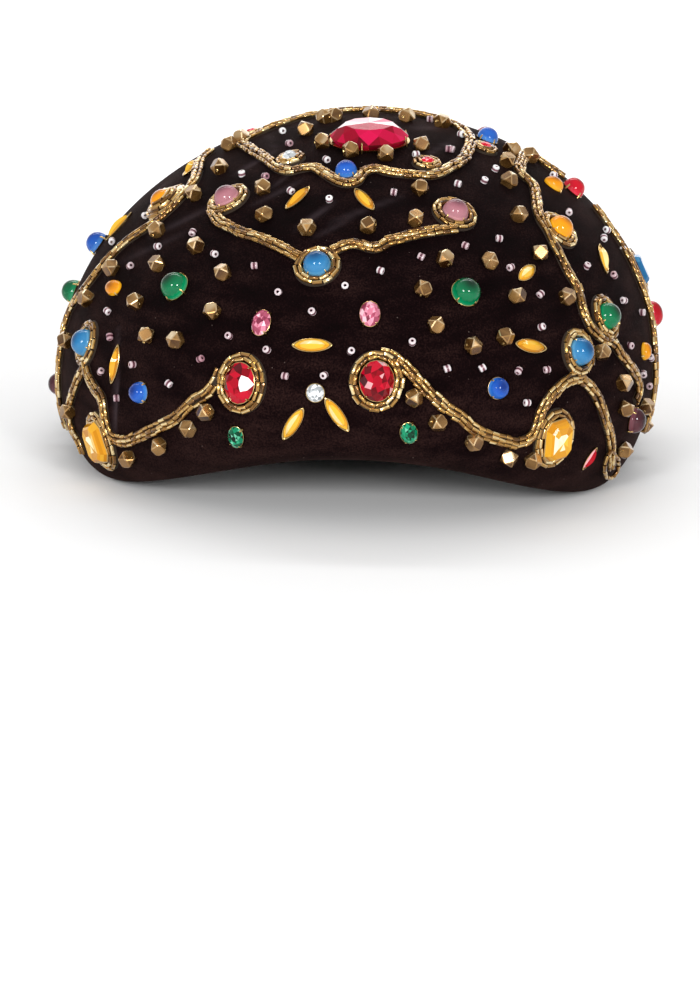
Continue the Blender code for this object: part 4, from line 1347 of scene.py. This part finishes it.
print("a nailhead has", len(nailhead().faces), "faces")

# %% The chart of the nailheads
FRONT_NAILHEADS = (
    (238, 131.8), (228.8, 143.5), (219.2, 166), (193.6, 192.7), (156.2, 229.4), (195, 244.8),
    (156.2, 263.1), (222, 271.5), (110.7, 267.5), (84.9, 298), (134.5, 301), (305.5, 128.4),
    (322.2, 141), (324.4, 116.4), (350.6, 149.4), (385.5, 153.1), (421.5, 143.5), (420, 187),
    (262.1, 186.8), (263.6, 213.2), (306.3, 226.1), (368.2, 224.7), (415.5, 217.6), (445.5, 257.8),
    (423.5, 288), (512, 148), (507.5, 159.6), (509.5, 179.5), (519.5, 213.5), (490.5, 260),
    (540.7, 251.7), (518, 295), (568, 296), (536, 150.5), (145.2, 334.9), (174.6, 339.3),
    (211.5, 310.3), (58.8, 340.9), (54.8, 416.6), (204.3, 412.6), (186.7, 429.3), (157.9, 447),
    (126.4, 459.8), (436.5, 324.4), (414.4, 398.4), (438.4, 423.4), (474.1, 345.4), (506.1, 336.4),
    (603, 352), (625.6, 383), (627, 409), (650.4, 407.9), (474.7, 443.1), (509.9, 459.1),
    (534.1, 461.4), (625.9, 450.7), (333.7, 111.3), (371.1, 111.3), (407.5, 113.5), (444.5, 117.3),
)
SIDE_NAILHEADS = (
    (-100, 82), (-112, 70), (-84, 74), (-104, 55), (-88, 50), (-97, 30), (-108, 38), (-86, 10),
    (-101, 14), (-112, 20), (98, 76), (110, 68), (99, 58), (90, 34), (102, 42), (97, 24),
    (109, 30), (90, 10), (104, 14), (112, 50), (93, 88), (-97, 93), (-107, 62), (-120, 58),
    (-113, 47), (-122, 36), (-105, 27), (-118, 80), (-108, 90), (-126, 70), (-131, 48), (-116, 12),
    (106, 61), (120, 44), (121, 66), (108, 86), (117, 22), (128, 82), (131, 30),
)
OUTLINE_FROM = 20.0  # mm: above this height only charted beads show past the outline
NAILHEAD_TALL = 4.5
NAILHEAD_CLEAR, NAILHEAD_TAKES = 2.5, 2.6  # mm round its middle
NAILHEAD_LEAN = 22  # degrees, the spread of its leans


def clear(place, radius):
    """Whether a place is clear of what is sewn on already."""
    return all((place - taken).length > radius + reach for taken, reach in TAKEN)


def past_outline(seat, lift):
    """Whether something on a high seat shows in the front view, which is charted whole."""
    way = seat[0] + seat[1] * lift - EYE
    met = VELVET.ray_cast(EYE, way.normalized())
    return seat[0].z > OUTLINE_FROM and (met[0] is None or met[3] > way.length)


def fits(seat, lift, radius):
    """Whether something that the chart doesn't show may be sewn on a seat."""
    return clear(seat[0], radius) and not past_outline(seat, lift)


nailheads, count = Form(), 0
front_seats = [seen(*spot, NAILHEAD_CUBE / 2) for spot in FRONT_NAILHEADS]
other_seats = [behind(seat) for seat in front_seats] + [at_height(*spot) for spot in SIDE_NAILHEADS]
for order, seat in enumerate(front_seats + other_seats):
    if order >= len(front_seats) and not fits(seat, NAILHEAD_TALL, NAILHEAD_CLEAR):
        continue
    lean = radians(draw.choice((0, 0, 90)) + draw.gauss(0, NAILHEAD_LEAN))
    turned = Matrix.Rotation(lean, 3, seat[1])
    matrix = standing(seat, turned @ UP_THE_CHART, NAILHEAD_CUBE / 2 - SUNK_IN_PILE)
    nailheads.add(nailhead(), matrix)
    TAKEN.append((seat[0], NAILHEAD_TAKES))
    count += 1
# Painted light and shade: facets that face up are painted paler, those facing the velvet darker.
for number, (first, second, third, *_) in enumerate(nailheads.faces):
    corner = nailheads.corners[first]
    across = (nailheads.corners[second] - corner).cross(nailheads.corners[third] - corner)
    up = PAINTED_FACING_LIGHT * across.normalized().z
    nailheads.tones[number] = tuple(tone + up for tone in nailheads.tones[number])
dress("nailheads_sewn", nailheads, [lustred_glass, setting_brass], sharp=20)
print(count, "nailheads sewn on")

# %% [markdown]
# ## Navettes and small stones
# The navettes are yellow glass in plain brass settings. Their top is a long ridge, painted paler as
# one long painted highlight, and the right side of the ridge is painted darker, a painted shade. A
# few small ovals and one round clear stone are sewn straight on as well.

# %% The chart of the navettes and small stones
FRONT_SLIVERS = (
    ("navette", "topaz", 311.6, 344.5, 11.8, 4.0, 90),
    ("navette", "topaz", 292.5, 424.7, 11.8, 3.8, 33),
    ("navette", "topaz", 336.6, 415.3, 11.8, 3.8, -35),
    ("navette", "topaz", 297.0, 196.0, 11.8, 3.8, 46),
    ("navette", "topaz", 364.2, 197.5, 11.8, 3.8, -40),
    ("navette", "topaz", 532.6, 345.5, 11.8, 4.0, 99),
    ("navette", "topaz", 528.0, 271.5, 9.6, 3.8, 48),
    ("navette", "topaz", 604.9, 257.5, 11.8, 3.8, -14),
    ("navette", "topaz", 112.8, 363.7, 11.8, 3.8, 13),
    ("navette", "topaz", 117.5, 225.0, 11.8, 3.8, 42),
    ("navette", "topaz", 190.6, 166.0, 11.8, 3.8, 44),
    ("oval", "amber", 554.3, 183.5, 6.6, 5.0, -60),
    ("oval", "amber", 112.9, 287.3, 7.0, 5.0, 90),
    ("navette", "red", 591.5, 459.5, 8.0, 3.2, 33),
    ("oval", "amber", 646, 351, 5.6, 4.2, 0),
    ("oval", "clear", 315, 393, 5.3, 5.3, 0),
)
BACK_SLIVERS = (0, 1, 2, 3, 4, 5, 15)  # places in the chart
DULL_SLIVERS = (3, 4, 5, 8)
print(len(FRONT_SLIVERS), "small stones charted")

# %% Dress the navettes and small stones
NAVETTE_SIDES = 28
NAVETTE_PINCH = 0.35
NAVETTE_RINGS = ((0.86, 0.86, 0.0), (0.90, 0.90, 0.30), (0.66, 0.66, 0.55), (0, 0.72, 0.98))
NAVETTE_WALL = 0.30
# The tones run from the edge to the ridge, and their paler bands are painted highlights.
NAVETTE_TONES = {"bright": (0.26, 0.62, 0.86), "dull": (0.18, 0.44, 0.70), "red": (0.5, 0.92, 0.35)}
RIGHT_SHADE = -0.16  # the right side of the ridge turns from the lamps
LOW_ENDS = 0.5
SPREAD = (-0.35, 0, 0.35)  # of its length, where a small stone takes up room


def navette(wide, long, height, tones):
    """A pointed stone with a long ridge, in a plain setting."""
    outline = ellipse(wide, long, NAVETTE_SIDES, NAVETTE_PINCH)
    heights = [height * (1 - LOW_ENDS * (2 * y / long) ** 2) for _, y in outline]
    form = Form()
    rings = [form.ring([(x * x_share, y * y_share, level * high)
                        for (x, y), high in zip(outline, heights)])
             for x_share, y_share, level in NAVETTE_RINGS]
    shades = [RIGHT_SHADE if x >= 0 else 0.0 for x, _ in outline]
    form.wall(rings[0], rings[1], lambda side: tones[0])
    form.wall(rings[1], rings[2], lambda side: tones[1] + shades[side])
    form.wall(rings[2], rings[3], lambda side: tones[2] + shades[side])
    form.face(reversed(rings[0]), UNSEEN_TONE)
    return form.add(setting(outline, NAVETTE_WALL * height, share=1.0))


def small_stone(order, cut, glass, long, wide, height):
    """A sliver with what holds it."""
    if cut == "navette":
        look = "red" if glass == "red" else "dull" if order in DULL_SLIVERS else "bright"
        return navette(wide, long, height, NAVETTE_TONES[look])
    if glass == "amber":
        return cabochon(wide, long).add(claws(wide, long, 0.4 * height, (45, 225)))
    form = brilliant(wide, long, height, sparkle(0.3, 1.0))
    return form.add(setting(ellipse(wide, long, 24), 0.4 * height))


def sewn_stones(wanted):
    """The pieces of one glass: every sliver of it, on the front and on the back."""
    whole = Form()
    for order, (cut, glass, across, down, long, wide, lean) in enumerate(FRONT_SLIVERS):
        if glass != wanted:
            continue
        height = CUT_HEIGHTS[cut] * wide
        form = small_stone(order, cut, glass, long, wide, height)
        seat = seen(across, down, height / 2)
        along = lean_of(seat, lean)
        places = [(seat, along)]
        if order in BACK_SLIVERS:
            places.append((behind(seat), HALF_TURN @ along))
        for place, way in places:
            whole.add(form, standing(place, way))
            TAKEN.extend((place[0] + way.normalized() * long * share, wide / 2) for share in SPREAD)
    return whole


for glass in ("topaz", "amber", "red", "clear"):
    dress(f"small_{glass}_stones", sewn_stones(glass), [GLASS[glass], setting_brass])
print("small stones dressed")

# %% [markdown]
# ## Seed beads
# Seed beads are short glass tubes with rounded ends. Most are sewn lying on their side, so the two
# ends show as bright bars, painted highlights, with the darker lining between them, and some show
# their hole, which is painted dark, a painted shade. Some are whiter than others.

# %% The chart of the seed beads
WHITE_SEEDS = (
    (241, 173), (111.7, 240.4), (145, 214.7), (282.8, 130.3), (326.6, 158.9), (290.4, 190),
    (329, 198.1), (415.8, 153.4), (461.8, 133.9), (495.8, 167.9), (484.7, 179.5), (458.5, 183.2),
    (554, 174.6), (607.4, 229.6), (604.5, 237.6), (624, 248.3),
)
SOFT_SEEDS = (
    (191.8, 232), (157.3, 245.5), (214.1, 253.6), (129.8, 265.3), (253.2, 264.6), (393.8, 191.2),
    (431.2, 117.1), (277.9, 290.8), (344.4, 284.4), (381.4, 269.3), (421.5, 255.8), (451.5, 148.4),
    (499.9, 238.1), (465.9, 245.4), (510.4, 266.3), (541.5, 293.8), (569.2, 211.5), (588.3, 265.8),
    (624.5, 300), (106.1, 311), (100, 370.8), (131.5, 364.1), (167.7, 383.3), (228, 335.5),
    (312.1, 311), (266.6, 349.8), (284.5, 376.1), (324.4, 374.5), (350.4, 350.9), (412.9, 342.3),
    (447.8, 368), (483.3, 367), (518.8, 371.1), (547.9, 368.8), (528, 403.3), (542.2, 326.4),
    (643.2, 311.4), (631.7, 344.8), (644.3, 374.2), (655, 357.4),
)
PINK_SEEDS = (
    (289.4, 142.8), (265.8, 175.4), (448.8, 148.7), (614.3, 274.4), (109, 336.2), (200.3, 359.2),
    (116, 398.2), (650.4, 386.4),
)
SIDE_SEEDS = (
    (-95, 76), (-107, 78), (-90, 66), (-99, 68), (-110, 60), (-94, 54), (-103, 47), (-86, 42),
    (-92, 36), (-104, 28), (-94, 22), (-98, 8), (-107, 10), (-87, 22), (92, 70), (104, 72),
    (93, 52), (105, 62), (106, 50), (98, 50), (96, 34), (104, 34), (90, 22), (98, 12), (110, 18),
    (88, 92), (99, 84), (-89, 85), (-105, 88),
)
print(len(WHITE_SEEDS + SOFT_SEEDS + PINK_SEEDS), "seed beads charted")

# %% Dress the seed beads
SEED_WIDTH = 2.15
SEED_LENGTH = 1.9
SEED_TALL = 1.5
SEED_CLEAR, SEED_TAKES = 1.2, 1.3  # mm round its middle
SEED_SUNK = 0.3
SEED_TILT = 0.3
SEED_TURN = 0.5  # radians, the spread of its turns
SEED_DRIFT = (-0.1, 0.08)
SIDE_DRIFT = (-0.2, 0.2)
LYING_SHARE = 0.7  # of the seeds show their side
SEED_SHADES = ((WHITE_SEEDS, 0.05), (SOFT_SEEDS, -0.12), (PINK_SEEDS, -0.34))


def seed():
    """A short tube about Z with rounded ends and a hole, standing on one end."""
    profile = ((0.42, 0.0, 0.9), (0.82, 0.0, 0.95), (1.0, 0.10, 1.0), (1.0, 0.30, 0.85),
               (1.0, 0.38, 0.15), (1.0, 0.62, 0.15), (1.0, 0.70, 0.85), (1.0, 0.90, 1.0),
               (0.82, 1.0, 0.95), (0.42, 1.0, 0.9), (0.38, 0.85, 0.1), (0.38, 0.15, 0.1),
               (0.42, 0.0, 0.9))  # the two bright bars at the ends are painted highlights, the dark band between is the lining, and the hole is painted dark, a painted shade
    return raised(ellipse(SEED_WIDTH, SEED_WIDTH, 12),
                  [(share, length * SEED_LENGTH, tone) for share, length, tone in profile])


SEED = seed()
LYING_SEED = Form().add(SEED, Matrix.Translation((-SEED_LENGTH / 2, 0, SEED_WIDTH / 2))
                        @ Matrix.Rotation(pi / 2, 4, "Y"))
seeds, count = Form(), 0
for spots, tone in SEED_SHADES:
    seats = [seen(*spot, SEED_WIDTH / 2) for spot in spots]
    for order, seat in enumerate(seats + [behind(seat) for seat in seats]):
        if order >= len(seats) and not fits(seat, SEED_TALL, SEED_CLEAR):
            continue
        tilt = Vector([draw.uniform(-SEED_TILT, SEED_TILT) for _ in range(3)])
        tilted = (seat[1] + tilt).normalized()
        turned = Matrix.Rotation(draw.gauss(0, SEED_TURN), 3, seat[1]) @ UP_THE_CHART
        matrix = standing((seat[0], tilted), turned, -SEED_SUNK)
        seeds.add(LYING_SEED if draw.random() < LYING_SHARE else SEED, matrix,
                  shift=tone + draw.uniform(*SEED_DRIFT))
        TAKEN.append((seat[0], SEED_TAKES))
        count += 1
for spot in SIDE_SEEDS:
    seat = at_height(*spot)
    if fits(seat, SEED_TALL, SEED_CLEAR):
        seeds.add(SEED, standing(seat, Z_AXIS), shift=draw.uniform(*SIDE_DRIFT))
        TAKEN.append((seat[0], SEED_TAKES))
        count += 1
dress("seed_beads_sewn", seeds, [seed_glass], sharp=80)
print(count, "seed beads sewn on")

# %% [markdown]
# ## The floor and the light
# The hat rests on a plain pale floor that curves up behind it, as a photographer's paper sweep
# does, and a light of its own washes the paper behind. The surroundings are white and soft. Two
# square soft lights stand a little to the left and right of the camera, and their reflections are
# the pairs of small bright dots on the round stones.

# %% The paper sweep
SWEEP_HALF_WIDTH = 4.0
SWEEP_NEAR = -3.0
SWEEP_FAR = 3.2
SWEEP_BEND = 0.8
SWEEP_TOP = 3.0
BEND_STEPS = 12


def paper_sweep():
    """A floor that bends up to a wall behind the hat."""
    line = [(SWEEP_NEAR, 0.0), (SWEEP_FAR, 0.0)]
    for step in range(1, BEND_STEPS + 1):
        angle = pi / 2 * step / BEND_STEPS
        line.append((SWEEP_FAR + SWEEP_BEND * sin(angle), SWEEP_BEND * (1 - cos(angle))))
    line.append((SWEEP_FAR + SWEEP_BEND, SWEEP_TOP))
    corners = [(x, y, z) for y, z in line for x in (-SWEEP_HALF_WIDTH, SWEEP_HALF_WIDTH)]
    faces = [(2 * i, 2 * i + 1, 2 * i + 3, 2 * i + 2) for i in range(len(line) - 1)]
    mesh = bpy.data.meshes.new("paper_sweep")
    mesh.from_pydata(corners, [], faces)
    mesh.shade_smooth()
    paper, _, _ = surface("matt_white_paper", Base_Color=linear("#f2f2f2"), Roughness=0.9)
    mesh.materials.append(paper)
    sweep = bpy.data.objects.new("paper_sweep", mesh)
    bpy.context.scene.collection.objects.link(sweep)


paper_sweep()
print("sweep laid")

# %% Lights
LIGHT_TURN = 22  # degrees to each side
LIGHT_RISE = radians(17)
LIGHT_DISTANCE = 1.5  # metres, as the sizes and places of all lights are
LIGHT_SIZE = 0.30
LIGHT_POWER = 9.5
WASH_PLACE = Vector((0, 1.7, 2.6))
WASH_AIM = Vector((0, 4.0, 0.6))
WASH_SIZE = 2.4
WASH_POWER = 160.0
WORLD_STRENGTH = 0.66


def square_light(name, power, size, place, away, shows=True):
    """A square light that shines from a place, with its back turned away in a direction."""
    light = bpy.data.lights.new(name, "AREA")
    light.energy, light.size = power, size
    lamp = bpy.data.objects.new(name, light)
    lamp.location = place
    lamp.rotation_euler = away.to_track_quat("Z", "Y").to_euler()
    lamp.visible_camera = shows
    bpy.context.scene.collection.objects.link(lamp)


for side, turn in (("left", radians(-LIGHT_TURN)), ("right", radians(LIGHT_TURN))):
    away = Vector((sin(turn) * cos(LIGHT_RISE), -cos(turn) * cos(LIGHT_RISE), sin(LIGHT_RISE)))
    square_light(f"{side}_soft_light", LIGHT_POWER, LIGHT_SIZE,
                 VIEW_FOCUS * MM + away * LIGHT_DISTANCE, away)
square_light("background_light", WASH_POWER, WASH_SIZE, WASH_PLACE, WASH_PLACE - WASH_AIM, False)

world = bpy.data.worlds.new("white_room")
world.use_nodes = True
background = world.node_tree.nodes["Background"]
background.inputs["Color"].default_value = linear("#ffffff")
background.inputs["Strength"].default_value = WORLD_STRENGTH
bpy.context.scene.world = world
bpy.context.scene.view_settings.view_transform = "Standard"
print("soft lights in place, and a white room")

# %% [markdown]
# The camera stands where the chart's eye is. The hat sits high in the picture. A lens shift could
# put it there, but the camera is swung down instead until the chart's focus falls on its charted
# place.

# %% The camera
SENSOR = 36.0  # mm
focal_units = VIEW_UNITS_PER_MM * VIEW_DISTANCE
lens = bpy.data.cameras.new("camera")
lens.sensor_width = SENSOR
lens.lens = focal_units * SENSOR / max(CHART_SIZE)
camera = bpy.data.objects.new("camera", lens)
bpy.context.scene.collection.objects.link(camera)
aimed = Matrix((TO_THE_RIGHT, UP_THE_CHART, TO_THE_EYE)).transposed()
aimed = aimed @ Matrix.Rotation(VIEW_ROLL, 3, "Z")
focus_seen = Vector((VIEW_CENTRE[0] - CHART_SIZE[0] / 2, CHART_SIZE[1] / 2 - VIEW_CENTRE[1],
                     -focal_units))
swung = focus_seen.rotation_difference(Vector((0, 0, -1))).to_matrix()
camera.matrix_world = Matrix.Translation(EYE * MM) @ (aimed @ swung).to_4x4()
bpy.context.scene.camera = camera
print("camera at", tuple(camera.location), "lens", round(lens.lens, 2))
